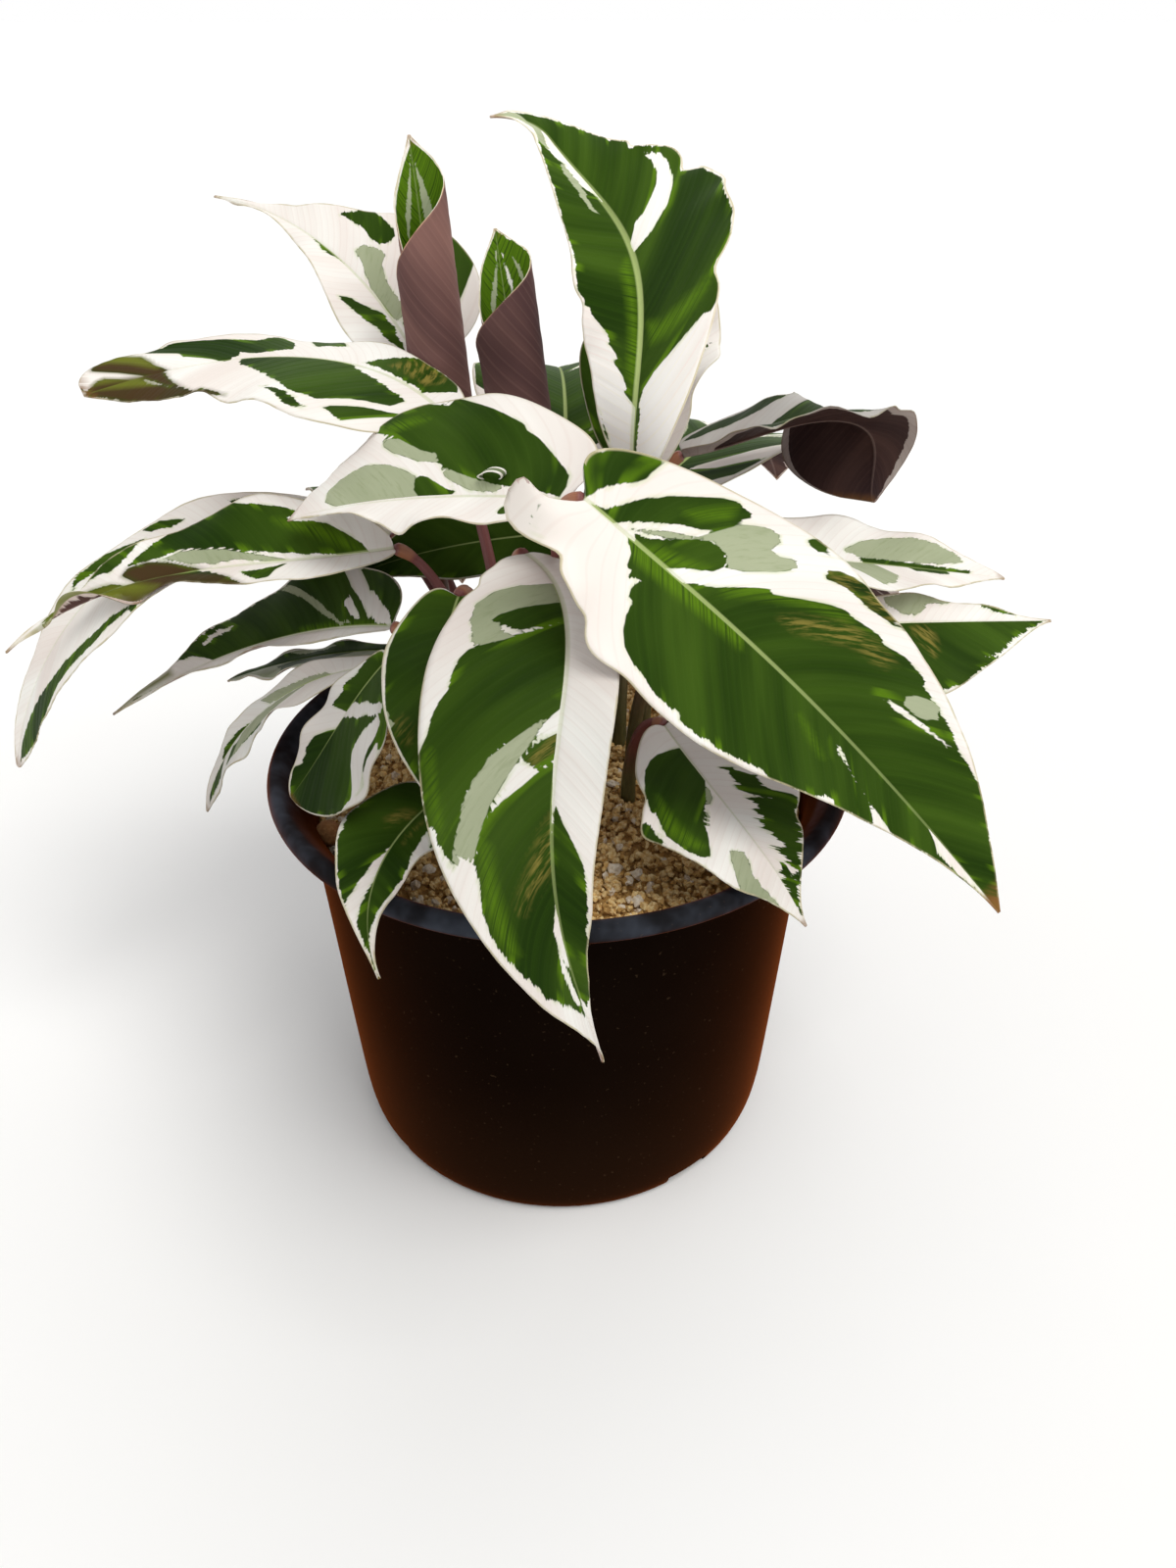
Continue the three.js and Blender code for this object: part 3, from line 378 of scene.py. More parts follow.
        ("white", 0, 0.7, """
        green 33.7,112 28.3,112 30.9,64 38.3,55
        green 28.4,15 19.7,68 16.5,89 12.8,112 9.7,112 6.4,112 4.5,84 9.7,9 20.3,10
        tan 21.1,35 15.9,84 11.1,112 7.9,81 11.3,30
        green 66.1,112 59.6,112 56.9,112 54,86 48,70 41.5,93 40.5,88 41,69 44.8,34 55.3,16
            57.8,25 62.5,5 65.5,-10 66.7,13 68.5,39 66,60
        green 84.4,88 78,112 75.3,112 71,80 77.1,29 79.5,-10 78,-10 76,-10 79.2,-10 84.5,-10
            84.3,40
        brown 84.4,88 78,112 75.3,112 71,80 77.1,29 79.5,-10 76,-10 79.2,-10 84.5,-10 84.3,40
        green 95.5,80 98.1,11 91.2,36 89.2,35 88.6,16 88,-10 85,-10 74.7,-10 72.5,-10 69.7,-10
            66.2,-10 83.5,-10 97,-10 98.7,-10 100,-10
        brown 95.5,80 98.1,11 91.2,36 89.2,35 88.6,16 74.7,-10 72.5,-10 69.7,-10 66.2,-10
            83.5,-10 97,-10 100,-10
        olive 80,112 77.6,112 69.8,112 70.5,83 73.2,58 79,16 77.3,61 77.4,88
        olive 93.7,30 88.9,38 87.8,-10 82.7,-10""")],
    "upper_left": [
        ("white", 0, 0.7, """
        green 24.8,75 24.5,54 20.1,26 18.5,9 8.6,13 4.8,24 7.6,34 19.6,61
        green 57.7,-10 49.6,-10 45,-10 43.5,-10 39.2,-10 34.2,-10 38.2,-10 47.1,23"""),
        ("white", 0, 0.7, """
        green 42.8,76 36.4,94 30.7,112 26.4,86 23.3,74 22.7,65 26,49 30,46 35.8,64
        grey 37.1,24 32.9,36 27.9,41 25.6,39 26.5,28 23.1,18 16.5,16 13.9,13 14.5,5 18.8,-10
            29.8,5
        green 8.6,112 6.1,112 3.1,112 0.6,112 -0.4,94 -0.7,89 -1.2,85 -1.1,81 2.6,63 8,80
        green 13,8 12.8,16 7.2,11 9.2,5""")],
    "far_left": [
        ("white", 0, 0.6, """
        green 29.2,112 33.9,89 41.4,76 46.7,74 52.2,71 64.7,61 75.2,44 82.4,36 90,30 94.3,63
            87.4,86 69.6,112 62.4,93 53.3,86 44.4,89 41.2,85 35.5,90 29.7,112
        green 3.2,66 9.1,28 20.5,43 27.9,34 32.3,36 22.2,80 6.7,112"""),
        ("white", 0.6, 0.8, """
        green 40.7,112 38.7,112 36.8,75 34.8,50 37.6,43 40.6,63
        green 56.6,80 52.4,112 49.7,112 42.7,51 46.9,24 49.3,16 52.7,58 56.5,74 60.4,75
        green 2.8,25 8.1,68 14.1,80 20.1,75 26.3,74 26.1,20 19.4,15 10,19 3.5,-10""")],
    "lower_left": [
        ("white", 0.3, 0.6, ""),
        ("green", 0.5, 1.2, """
        white 11.8,112 8.9,112 8,68 0.3,40 0.5,-10 4.8,6 8.6,23 12.4,66
        white 15.5,35 13.5,49 12.7,40 11.4,24 10.6,10 14,18
        grey 30,112 26.8,112 24.5,73 22.3,48 20.3,25 18,15 13.9,5 18.9,9 21.8,20 26.1,59
            28.2,85
        white 41.3,112 36.3,112 28.9,112 25.4,112 26.2,91 31,112 36,112 38.9,112 47,112
        white 59.3,65 51.5,78 47.1,65 51.2,58 53.8,61 60,53
        white 61.2,-10 65.6,50 72,112 83.8,112 98.1,112 100,-10 89,8 65,-10
        lime 31,8 20.9,8 1.5,15 1,-10 21.2,-10 31.5,-10
        olive 76,20 74,70 100,80 100,20""")],
    "low_left": [
        ("white", 0.2, 0.8, """
        green 66.5,23 60.6,23 43.1,53 38.9,69 53.8,61 65,70
        grey 30,10 34,60 60,64 62,10
        green 74,10 72,70 92,60 92,10"""),
        ("white", 0.2, 0.8, """
        grey 46.2,70 42.1,69 37.4,38 22,19 20.2,-10 38.2,-10 44.2,-10 47.5,11
        green 74.6,26 69.5,45 64.7,34 60.9,10 55.5,-10 56,-10 61,-10 66.5,-10 72,-10 80,-10
            78.5,-10""")],
    "rim_left": [
        ("green", 0.5, 0.8, """
        white 38,-10 3.2,73 2.3,81 3.8,76 15.1,44 50.5,-10
        white 5.4,71 10.2,60 22.8,51 23.9,58 21,80 20.1,91 18,93 12.5,86 9,79 4.9,81 3.8,81
        white 4.3,88 6.9,86 10.3,86 13.4,91 17.1,91 22.3,90 27,112 33.1,112 27.2,112 20.5,112
            9.6,112 6.4,112 3.7,112 1.5,112"""),
        ("green", 0.4, 0.8, """
        white 8.2,85 20.1,69 23.6,51 28.8,59 32.8,58 38.7,-10 50.2,-10 50.6,24 52.3,51 57.4,60
            71.3,54 70.6,112 50.5,112 41.3,112 26.8,112 20.4,112 13.3,112 7.5,112""")],
    "rim_front_left": [
        ("green", 0.9, 0.7, """
        white 14,58 16.3,86 22.6,112 42.3,112 34.7,94 28.2,70 21.8,58
        tan 13.5,30 26.4,26 21.5,19 16.5,21
        white 83,5 100,-10 97.8,112 89.1,112 80.2,112"""),
        ("green", 0.5, 0.8, """
        white 9,-10 16.2,-10 23.2,-10 38.2,9 47.4,36 54,83 60.2,112 67.5,112 74,112 79.1,93
            79.5,73 71.3,64 66.9,51 62.7,35 40.5,-10 26.2,-10 11.5,-10
        white 10.3,112 14.8,112 20.3,112 18.3,112 13.8,112 9.4,112
        tan 13.5,39 11.6,28 11.4,9 16.1,5 19.1,30 15.7,40""")],
    "inner_front": [
        ("green", 0.5, 0.8, ""),
        ("green", 0.55, 0.8, """
        tan 42.9,86 43.5,69 49.8,53 54.3,66 50.5,85
        grey 33.5,112 36.6,90 42.9,86 42.9,112 38.8,112""")],
    "right_upper": [
        ("white", 0.2, 0.7, """
        grey 35,25 38.2,46 43.8,73 50,83 57,83 65.1,83 72.2,80 78.3,51 71.7,19 50.7,9 41.6,11
        green 42.1,9 50.4,11 85.8,15 86,-10 78.5,-10 50.5,-10"""),
        ("white", 0.2, 0.7, """
        grey 33.9,11 43.2,-10 48.1,-10 47.1,49 38.9,75 34,80
        green 61.7,-10 80.5,-10 72.7,30 65.3,25 61.1,19""")],
    "right_lower": [
        ("white", 0, 0.7, """
        grey 23.5,91 40.3,112 46.8,112 50.2,112 48.8,90 39.3,58 41.9,54 41.2,34 38.4,25
            34.4,29 29.1,48 25.2,73
        green 56.4,112 62.5,112 70.3,112 77.1,85 82.1,81 74.6,64 64.4,88"""),
        ("green", 0.5, 1, """
        white 21.3,95 26.5,95 31.2,112 38.1,112 51,112 53.3,93 47,85 47.3,83 56.1,88 76.2,71
            85.6,74 96.9,91 97.4,112 79,112 45.2,112 32.9,112 20.9,112
        white 36.2,-10 43.7,-10 49.7,-10 42.3,-10 37.1,-10
        tan 35.9,10 41.4,6 44.1,11 37.1,40 31.7,51 32,38""")],
    "tall_rear": [
        ("green", 0.3, 0.8, ""),
        ("white", 0.2, 0.8, """
        green 32.7,61 34.3,68 33.6,80 32.4,89 31.1,76 31.3,66""")],
    "small_left": [
        ("grey", 0.6, 0.8, """
        green 18,-10 24,60 40,70 58,30 50,-10"""),
        ("green", 0.5, 0.8, """
        grey 30,60 36,112 60,112 52,50""")],
    "arched_right": [
        ("green", 1.4, 0.7, """
        white -25,-10 -25,112 34,112 33,60 30,20 27,-10"""),
        ("green", 1.8, 0.7, """
        white -25,-10 -25,112 14,112 10,-10""")],
    "inner_left": [
        ("green", 0.4, 0.7, ""),
        ("green", 0.5, 0.7, """
        grey 20,60 24,112 36,112 30,55""")],
    "furled_left": [
        ("green", 0.9, 0.6, """
        lime 50,-10 50,112 101,112 101,-10
        grey 64,34 80,22 94,14 84,34 72,46"""),
        ("green", 0.7, 0.6, """
        lime 50,-10 50,112 101,112 101,-10
        grey 60,10 76,5 92,8 80,18 68,20""")],
    "furled_right": [
        ("green", 0.9, 0.6, """
        lime 50,-10 50,112 101,112 101,-10
        grey 58,30 74,18 92,10 78,28 64,40"""),
        ("green", 0.9, 0.6, """
        lime 50,-10 50,112 101,112 101,-10
        grey 60,30 70,27 82,33 72,38
        white 62,10 76,7 88,10 76,13""")],
}

# What sets one blade apart: tone darkens or lightens it, and where it darkens a blade that
# lies in the shade of other leaves it is painted shade; through is how far the marbling
# shows underneath, dry how brown its tip is from the place dry_from on, and ribwide and
# ribpale are the width and paleness of its midrib.
LOOKS = {
    "furled_left": dict(tone=2.3, through=0.0),
    "furled_right": dict(tone=1.5, through=0.0),
    "far_left": dict(tone=0.95),
    "arched_right": dict(tone=0.5),
    "inner_left": dict(tone=0.5),
    "low_left": dict(tone=0.6),
    "small_left": dict(tone=0.6),
    "rim_left": dict(tone=0.6),
    "rim_front_left": dict(tone=0.85),
    "inner_front": dict(tone=0.8),
    "lower_left": dict(tone=0.65),
    "rim_right": dict(tone=0.88),
    "front": dict(tone=0.8),
    "front_right": dict(dry=0.9, dry_from=0.95),
    "tall": dict(ribwide=1.7, ribpale=0.9, tone=1.2),
    "back_left": dict(tone=0.7),
}


# ---------------------------------------------------------------- leaf surfaces

def along(values, s):
    """Value at s, from 0 to 1, of a list with one or three entries."""
    if len(values) == 1:
        return values[0] + 0 * s
    a, b, c = values
    return a * (2 * s - 1) * (s - 1) + b * 4 * s * (1 - s) + c * s * (2 * s - 1)


def axes(leaf, s):
    """Midrib direction, left side and upper side at s."""
    hooked = np.clip((s - HOOK_START) / (1 - HOOK_START), 0, 1)
    h = np.radians(along(leaf["heading"], s) + leaf["hook"][0] * hooked)
    p = np.radians(along(leaf["pitch"], s) + leaf["hook"][1] * hooked)
    r = np.radians(along(leaf["roll"], s))[..., None]
    forward = np.stack([np.cos(h) * np.cos(p), np.sin(h) * np.cos(p), np.sin(p)], -1)
    side = np.stack([-np.sin(h), np.cos(h), 0 * h], -1)
    above = np.stack([-np.sin(p) * np.cos(h), -np.sin(p) * np.sin(h), np.cos(p)], -1)
    left = np.cos(r) * side + np.sin(r) * above
    up = -np.sin(r) * side + np.cos(r) * above
    return forward, left, up


def midrib(leaf, s):
    """Points of the midrib, found by walking along it from the base."""
    steps = (np.arange(RIB_STEPS) + 0.5) / RIB_STEPS
    walk = axes(leaf, steps)[0] * leaf["length"] / RIB_STEPS
    points = np.vstack([[0, 0, 0], np.cumsum(walk, 0)]) + np.array(leaf["base"], float)
    place = np.clip(s, 0, 1) * RIB_STEPS
    return np.stack([np.interp(place, np.arange(RIB_STEPS + 1), points[:, i])
                     for i in range(3)], -1)


def half_width(leaf, side, s):
    belly, full = leaf["belly"][side], leaf["full"]
    s = np.clip(s, 0, 1)
    rise = (s / belly) ** full
    fall = ((1 - s) / (1 - belly)) ** (full * (1 - belly) / belly)
    return leaf["width"][side] * rise * fall + BLADE_END_WIDTH


def surface(leaf, s, q):
    """Middle surface and its normal at s along and q across, 1 at the left margin."""
    forward, left, up = axes(leaf, s)
    right = q < 0
    sign = np.where(right, -1.0, 1.0)
    a = np.abs(q)
    distance = a * np.where(right, half_width(leaf, 1, s), half_width(leaf, 0, s))
    pick = lambda key: np.where(right, leaf[key][1], leaf[key][0])
    fold = np.radians(pick("fold"))
    curl = np.radians(pick("curl"))
    angle = fold + curl * distance
    out = (np.sin(angle) - np.sin(fold)) / curl
    lift = (np.cos(fold) - np.cos(angle)) / curl
    height, waves = leaf["wave"]
    phase = 2 * np.pi * waves * s + np.where(right, WAVE_LAG, 0.0)
    wave = height * a ** 2 * np.sin(phase) * np.sin(np.pi * s)
    back = pick("lobe") * (s / LOBE_REACH) * np.exp(1 - s / LOBE_REACH) * a ** 1.5
    point = (midrib(leaf, s) + (sign * out)[..., None] * left
             + (lift + wave)[..., None] * up - back[..., None] * forward)
    normal = (-sign * np.sin(angle))[..., None] * left + np.cos(angle)[..., None] * up
    return point, normal


# ---------------------------------------------------------------- leaf markings

# How a lateral vein bends, the tints, and in millimetres the value of a field without
# patches, the soft edge of a tint and the step along a vein that shows how a field runs.
VEIN = (0.25, 0.0088, 1.2, 0.0264)
SOFT = ("lime", "tan", "deep", "brown", "olive")
FAR, SOFT_EDGE, RUN_STEP = 60.0, 2.4, 0.6
LAST_FEATHER, GREY_FEATHERS, LINED_FEATHERS = 0.86, 0.3, 0.6


def vein_place(x, y, length):
    a, b, c, d = VEIN
    return (x - a * y - b * y * y) / (1 + (c * y + d * y * y) / length)


def vein_direction(x, y, length):
    a, b, c, d = VEIN
    below = 1 + (c * y + d * y * y) / length
    ux = 1 / below
    uy = (-a - 2 * b * y) / below
    uy -= (x - a * y - b * y * y) * (c + 2 * d * y) / (length * below ** 2)
    size = np.hypot(ux, uy)
    return -uy / size, ux / size


def read_patches(text):
    """Patches from the words of MARKS: colour names, each followed by its corners."""
    patches = []
    for word in text.split():
        if word.isalpha():
            patches.append((word, []))
        else:
            patches[-1][1].append([float(number) for number in word.split(",")])
    return patches


def feather(seed):
    """Marbling for a leaf whose marks aren't listed: white and grey feathers."""
    pick = np.random.default_rng(seed)
    halves = []
    for _ in range(2):
        patches = []
        start = pick.uniform(0.02, 0.08)
        patches.append(("white", [(-0.3, -0.1), (-0.3, 1.4), (start, 1.4),
                                  (start * 0.6, 0.5), (start * 1.3, -0.1)]))
        u = start + pick.uniform(0.02, 0.06)
        while u < LAST_FEATHER:
            wide = pick.uniform(0.03, 0.1)
            reach = pick.uniform(0.0, 0.6)
            colour = "grey" if pick.random() < GREY_FEATHERS else "white"
            skew = pick.uniform(-0.02, 0.03)
            patches.append((colour, [(u + skew, reach), (u - 0.004, 0.5 + reach / 2),
                                     (u - 0.012, 1.2), (u + wide * 1.25, 1.2),
                                     (u + wide, 0.55 + reach / 3),
                                     (u + wide * 0.55, reach + 0.1)]))
            if colour == "white" and pick.random() < LINED_FEATHERS:
                patches.append(("grey", [(u + 0.01, 0.45), (u + 0.008, 0.9),
                                         (u + wide * 0.6, 0.9), (u + wide * 0.4, 0.5)]))
            u += wide + pick.uniform(0.05, 0.16)
        patches.append(("lime", [(0.05, 0.05), (0.06, 0.5), (0.12, 0.4), (0.1, 0.05)]))
        patches = [(colour, [(100 * u, 100 * v) for u, v in polygon])
                   for colour, polygon in patches]
        halves.append(("green", pick.uniform(0.6, 1.4), 1.0, patches))
    return halves


def marbling(name, number):
    """Base colour, rim width, raggedness and patches of both halves of a blade."""
    if name not in MARKS:
        return feather(number + 11)
    return [(base, rim, jag, read_patches(text)) for base, rim, jag, text in MARKS[name]]


def to_plane(leaf, side, polygon):
    """Corners given as percent of u and v to millimetres on the flattened leaf."""
    s = np.linspace(0, 1, 400)
    width = half_width(leaf, side, s)
    length = leaf["length"]
    corners = []
    for u, v in np.array(polygon, float) / 100:
        places = np.maximum.accumulate(vein_place(s * length, v * width, length) / length)
        at = np.interp(u, places, s)
        shortfall = min(u - places[0], 0.0) + max(u - places[-1], 0.0)
        corners.append([(at + shortfall) * length, v * np.interp(at, s, width)])
    return np.array(corners)


def polygon_field(x, y, corners):
    """Distance to the polygon's outline, positive inside."""
    best = np.full(x.shape, 1e9)
    inside = np.zeros(x.shape, bool)
    for (ax, ay), (bx, by) in zip(corners, np.roll(corners, -1, 0)):
        dx, dy = bx - ax, by - ay
        t = np.clip(((x - ax) * dx + (y - ay) * dy) / max(dx * dx + dy * dy, 1e-9), 0, 1)
        best = np.minimum(best, np.hypot(x - ax - t * dx, y - ay - t * dy))
        if ay != by:
            crosses = ((ay > y) != (by > y)) & (x < (bx - ax) * (y - ay) / (by - ay) + ax)
            inside ^= crosses
    return np.where(inside, best, -best)


def paint(leaf, side, x, y, base, patches):
    """White and grey fields of one half, and the weights of its soft tints."""
    fields = {key: np.full(x.shape, FAR if base == key else -FAR) for key in ("white", "grey")}
    soft = {key: np.zeros(x.shape) for key in SOFT}
    for colour, polygon in patches:
        field = polygon_field(x, y, to_plane(leaf, side, polygon))
        if colour in soft:
            soft[colour] = np.maximum(soft[colour], np.clip(0.5 + field / SOFT_EDGE, 0, 1))
            continue
        for name in fields:
            if name == colour:
                fields[name] = np.maximum(fields[name], field)
            else:
                fields[name] = np.minimum(fields[name], -field)
    return fields, soft


# ---------------------------------------------------------------- materials

class Paintbox:
    """One node material; each method returns an output socket."""

    def __init__(self, name):
        self.material = bpy.data.materials.new(name)
        self.material.use_nodes = True
        self.tree = self.material.node_tree
        self.tree.nodes.clear()
        self.shader = self.tree.nodes.new("ShaderNodeBsdfPrincipled")
        output = self.tree.nodes.new("ShaderNodeOutputMaterial")
        self.tree.links.new(self.shader.outputs[0], output.inputs[0])

    def put(self, value, socket):
        if isinstance(value, bpy.types.NodeSocket):
            self.tree.links.new(value, socket)
        elif isinstance(value, tuple) and len(value) < len(socket.default_value):
            socket.default_value = (*value, 1.0)
        else:
            socket.default_value = value

    def add(self, kind, inputs, out=0, **settings):
        node = self.tree.nodes.new(kind)
        for key, value in settings.items():
            setattr(node, key, value)
        for key, value in inputs.items():
            self.put(value, node.inputs[key])
        return node.outputs[out]

    def math(self, operation, a, b=0.0, c=0.0):
        return self.add("ShaderNodeMath", {0: a, 1: b, 2: c}, operation=operation)

    def times(self, a, b):
        return self.math("MULTIPLY", a, b)

    def swing(self, value, width):
        """A noise from 0 to 1, centred on 0 and scaled."""
        return self.times(self.math("SUBTRACT", value, 0.5), width)

    def attribute(self, name):
        return self.add("ShaderNodeAttribute", {}, out=2, attribute_name=name)

    def mix(self, factor, a, b, blend="MIX"):
        return self.add("ShaderNodeMix", {0: factor, 6: a, 7: b}, out=2, data_type="RGBA",
                        blend_type=blend)

    def step(self, value, low, high, to_low=0.0, to_high=1.0):
        return self.add("ShaderNodeMapRange", {"Value": value, "From Min": low, "From Max": high,
                                               "To Min": to_low, "To Max": to_high},
                        interpolation_type="SMOOTHSTEP")

    def where(self):
        """Place on the object, in metres."""
        return self.add("ShaderNodeTexCoord", {}, out=3)

    def noise(self, scale, detail, rough, vector):
        return self.add("ShaderNodeTexNoise", {"Scale": scale, "Detail": detail,
                                               "Roughness": rough, "Vector": vector})

    def line_noise(self, place, scale, detail=1.0, rough=0.5):
        return self.add("ShaderNodeTexNoise", {"W": place, "Scale": scale, "Detail": detail,
                                               "Roughness": rough}, noise_dimensions="1D")

    def bump(self, height, distance, strength):
        return self.add("ShaderNodeBump", {"Height": height, "Distance": distance,
                                           "Strength": strength})

    def finish(self, colour, roughness, normal=None, **uniform):
        self.put(colour, self.shader.inputs["Base Color"])
        self.put(roughness, self.shader.inputs["Roughness"])
        if normal is not None:
            self.put(normal, self.shader.inputs["Normal"])
        for key, value in uniform.items():
            self.shader.inputs[key.replace("_", " ")].default_value = value
        return self.material


def srgb(r, g, b):
    """Display values from 0 to 255 as linear ones."""
    out = []
    for value in (r, g, b):
        c = value / 255
        out.append(c / 12.92 if c <= 0.04045 else ((c + 0.055) / 1.055) ** 2.4)
    return tuple(out)


VEIN_SPACING = 2.3
TOP_TONE = 1.2


def leaf_material(name, under):
    p = Paintbox(name)
    vein, rib, edge, seed = (p.attribute(key) for key in ("vein", "rib", "edge", "seed"))
    # tone scales the colour of a whole blade; below 1 it is painted shade for blades that lie in
    # the shade of others, and on the upper side it is capped at TOP_TONE
    tone = p.attribute("tone")
    if not under:
        tone = p.math("MINIMUM", tone, TOP_TONE)
    place = p.math("MULTIPLY_ADD", seed, 173.0, vein)
    grid = p.add("ShaderNodeCombineXYZ", {0: place, 1: p.times(rib, 0.22), 2: seed})
    # feathered edges: each small vein carries the colour a little further or less far
    fine = p.line_noise(place, 1.15, 2.0, 0.65)
    broad = p.line_noise(p.math("ADD", place, 50.0), 0.33, 0.0)
    shift = p.math("ADD", p.swing(fine, 2.0), p.swing(broad, 1.8))
    white = p.math("MULTIPLY_ADD", p.attribute("white_run"), shift, p.attribute("white"))
    grey = p.math("MULTIPLY_ADD", p.attribute("grey_run"), shift, p.attribute("grey"))
    ragged = p.swing(p.noise(1.1, 2.0, 0.6, grid), 0.3)
    white = p.math("ADD", white, ragged)
    grey = p.math("ADD", grey, ragged)
    is_white = p.step(white, -0.1, 0.16)
    is_grey = p.step(grey, -0.1, 0.2)
    if under:
        is_white = p.times(is_white, p.attribute("through"))
        is_grey = p.times(is_grey, p.attribute("through"))
    stripes = p.line_noise(place, 0.42, 2.0, 0.6)
    clouds = p.noise(0.055, 3.0, 0.55, grid)
    fleck = p.noise(0.9, 3.0, 0.65, grid)
    # thin lines of the lateral veins
    beat = p.math("SINE", p.math("MULTIPLY_ADD", place, 2 * math.pi / VEIN_SPACING,
                                 p.times(stripes, 3.0)))
    line = p.step(beat, 0.72, 1.0)
    if under:
        green = p.mix(p.step(clouds, 0.3, 0.7), srgb(62, 44, 44), srgb(98, 72, 66))
        green = p.mix(p.times(line, 0.12), green, srgb(120, 92, 84))
        grey_colour = p.mix(clouds, srgb(134, 116, 110), srgb(158, 144, 132))
        cream = p.mix(p.step(clouds, 0.3, 0.7), srgb(196, 176, 170), srgb(222, 208, 198))
        cream = p.mix(p.times(line, 0.22), cream, srgb(168, 140, 140))
        rib_colour, rim_colour, rough = srgb(176, 150, 140), srgb(150, 120, 96), 0.55
    else:
        green = p.mix(p.step(clouds, 0.3, 0.7), srgb(32, 53, 12), srgb(62, 88, 24))
        green = p.mix(p.step(stripes, 0.35, 0.8, 0.0, 0.12), green, srgb(54, 86, 16))
        green = p.mix(p.times(line, 0.035), green, srgb(88, 116, 52))
        # lime where green meets cream, and in the patches of that name
        near = p.step(white, -2.6, -0.1)
        limy = p.times(near, p.step(p.line_noise(place, 0.21, 1.0), 0.55, 0.68))
        limy = p.math("MAXIMUM", limy, p.times(p.attribute("lime"), p.step(fine, 0.25, 0.6)))
        green = p.mix(p.times(limy, 0.65), green, srgb(96, 134, 22))
        # painted shade: a darker green where a drawn patch lies in shade
        green = p.mix(p.times(p.attribute("deep"), 0.75), green, srgb(30, 46, 14))
        # golden flecks, which also carry a painted golden sheen
        tan = p.times(p.attribute("tan"), p.step(fleck, 0.42, 0.62))
        green = p.mix(p.times(tan, 0.7), green, srgb(150, 134, 66))
        grey_colour = p.mix(clouds, srgb(140, 150, 116), srgb(186, 192, 162))
        grey_colour = p.mix(p.step(fleck, 0.5, 0.7, 0.0, 0.25), grey_colour, srgb(116, 130, 84))
        cream = p.mix(p.step(clouds, 0.3, 0.7), srgb(236, 227, 220), srgb(246, 245, 239))
        cream = p.mix(p.times(line, 0.14), cream, srgb(218, 196, 186))
        # a pale green seam where cream runs out over green
        seam = p.times(p.step(white, 0.9, 0.05), p.step(broad, 0.4, 0.65))
        cream = p.mix(p.times(seam, 0.45), cream, srgb(190, 204, 150))
        rib_colour, rim_colour, rough = srgb(176, 192, 124), srgb(196, 186, 150), 0.44
    colour = p.mix(is_grey, green, grey_colour)
    colour = p.mix(is_white, colour, cream)
    ribbed = p.step(p.math("DIVIDE", rib, p.attribute("ribwidth")), 1.0, 0.45)
    rib_on_white = p.mix(is_white, rib_colour, p.mix(0.5, cream, rib_colour))
    colour = p.mix(p.times(ribbed, p.attribute("ribpale")), colour, rib_on_white)
    # the very margin is thin and dries a little
    rim = p.step(edge, 0.55, 0.1)
    rim = p.times(rim, p.step(p.line_noise(place, 0.12, 2.0), 0.35, 0.6, 0.25, 0.85))
    colour = p.mix(rim, colour, rim_colour)
    if not under:
        mottle = p.step(clouds, 0.2, 0.6, 0.7, 1.0)
        colour = p.mix(p.times(p.attribute("brown"), mottle), colour, srgb(72, 55, 33))
        colour = p.mix(p.times(p.attribute("olive"), mottle), colour, srgb(106, 112, 38))
    dry = p.times(p.attribute("dry"), p.step(p.noise(0.5, 3.0, 0.6, grid), 0.3, 0.5))
    colour = p.mix(dry, colour, srgb(134, 92, 52))
    # painted shade: the whole colour times the blade's tone
    colour = p.mix(1.0, colour, p.add("ShaderNodeCombineColor", {0: tone, 1: tone, 2: tone}),
                   blend="MULTIPLY")
    height = p.math("ADD", p.times(beat, 0.3), p.times(fine, 0.6))
    height = p.math("MULTIPLY_ADD", fleck, 0.35, height)
    normal = p.bump(height, 0.00012, 0.4)
    roughness = p.math("ADD", rough, p.swing(fleck, 0.22))
    roughness = p.math("MULTIPLY_ADD", is_white, 0.1, roughness)
    return p.finish(colour, roughness, normal, Specular_IOR_Level=0.02)


def petiole_material():
    p = Paintbox("petiole_skin")
    t, turn, seed = (p.attribute(key) for key in ("along", "turn", "seed"))
    place = p.add("ShaderNodeCombineXYZ", {0: p.times(turn, 9.0), 1: t, 2: seed})
    streak = p.noise(2.4, 3.0, 0.6, place)
    low = p.mix(streak, srgb(70, 78, 36), srgb(104, 92, 56))
    high = p.mix(streak, srgb(92, 44, 42), srgb(140, 78, 74))
    colour = p.mix(p.step(t, 0.05, 0.55), low, high)
    joint = p.times(p.step(t, JOINT_START, 0.9), p.step(t, 1.0, 0.97))
    colour = p.mix(p.times(joint, 0.85), colour,
                   p.mix(streak, srgb(150, 92, 60), srgb(176, 124, 92)))
    normal = p.bump(streak, 0.0002, 0.5)
    return p.finish(colour, p.math("MULTIPLY_ADD", streak, 0.2, 0.36), normal)


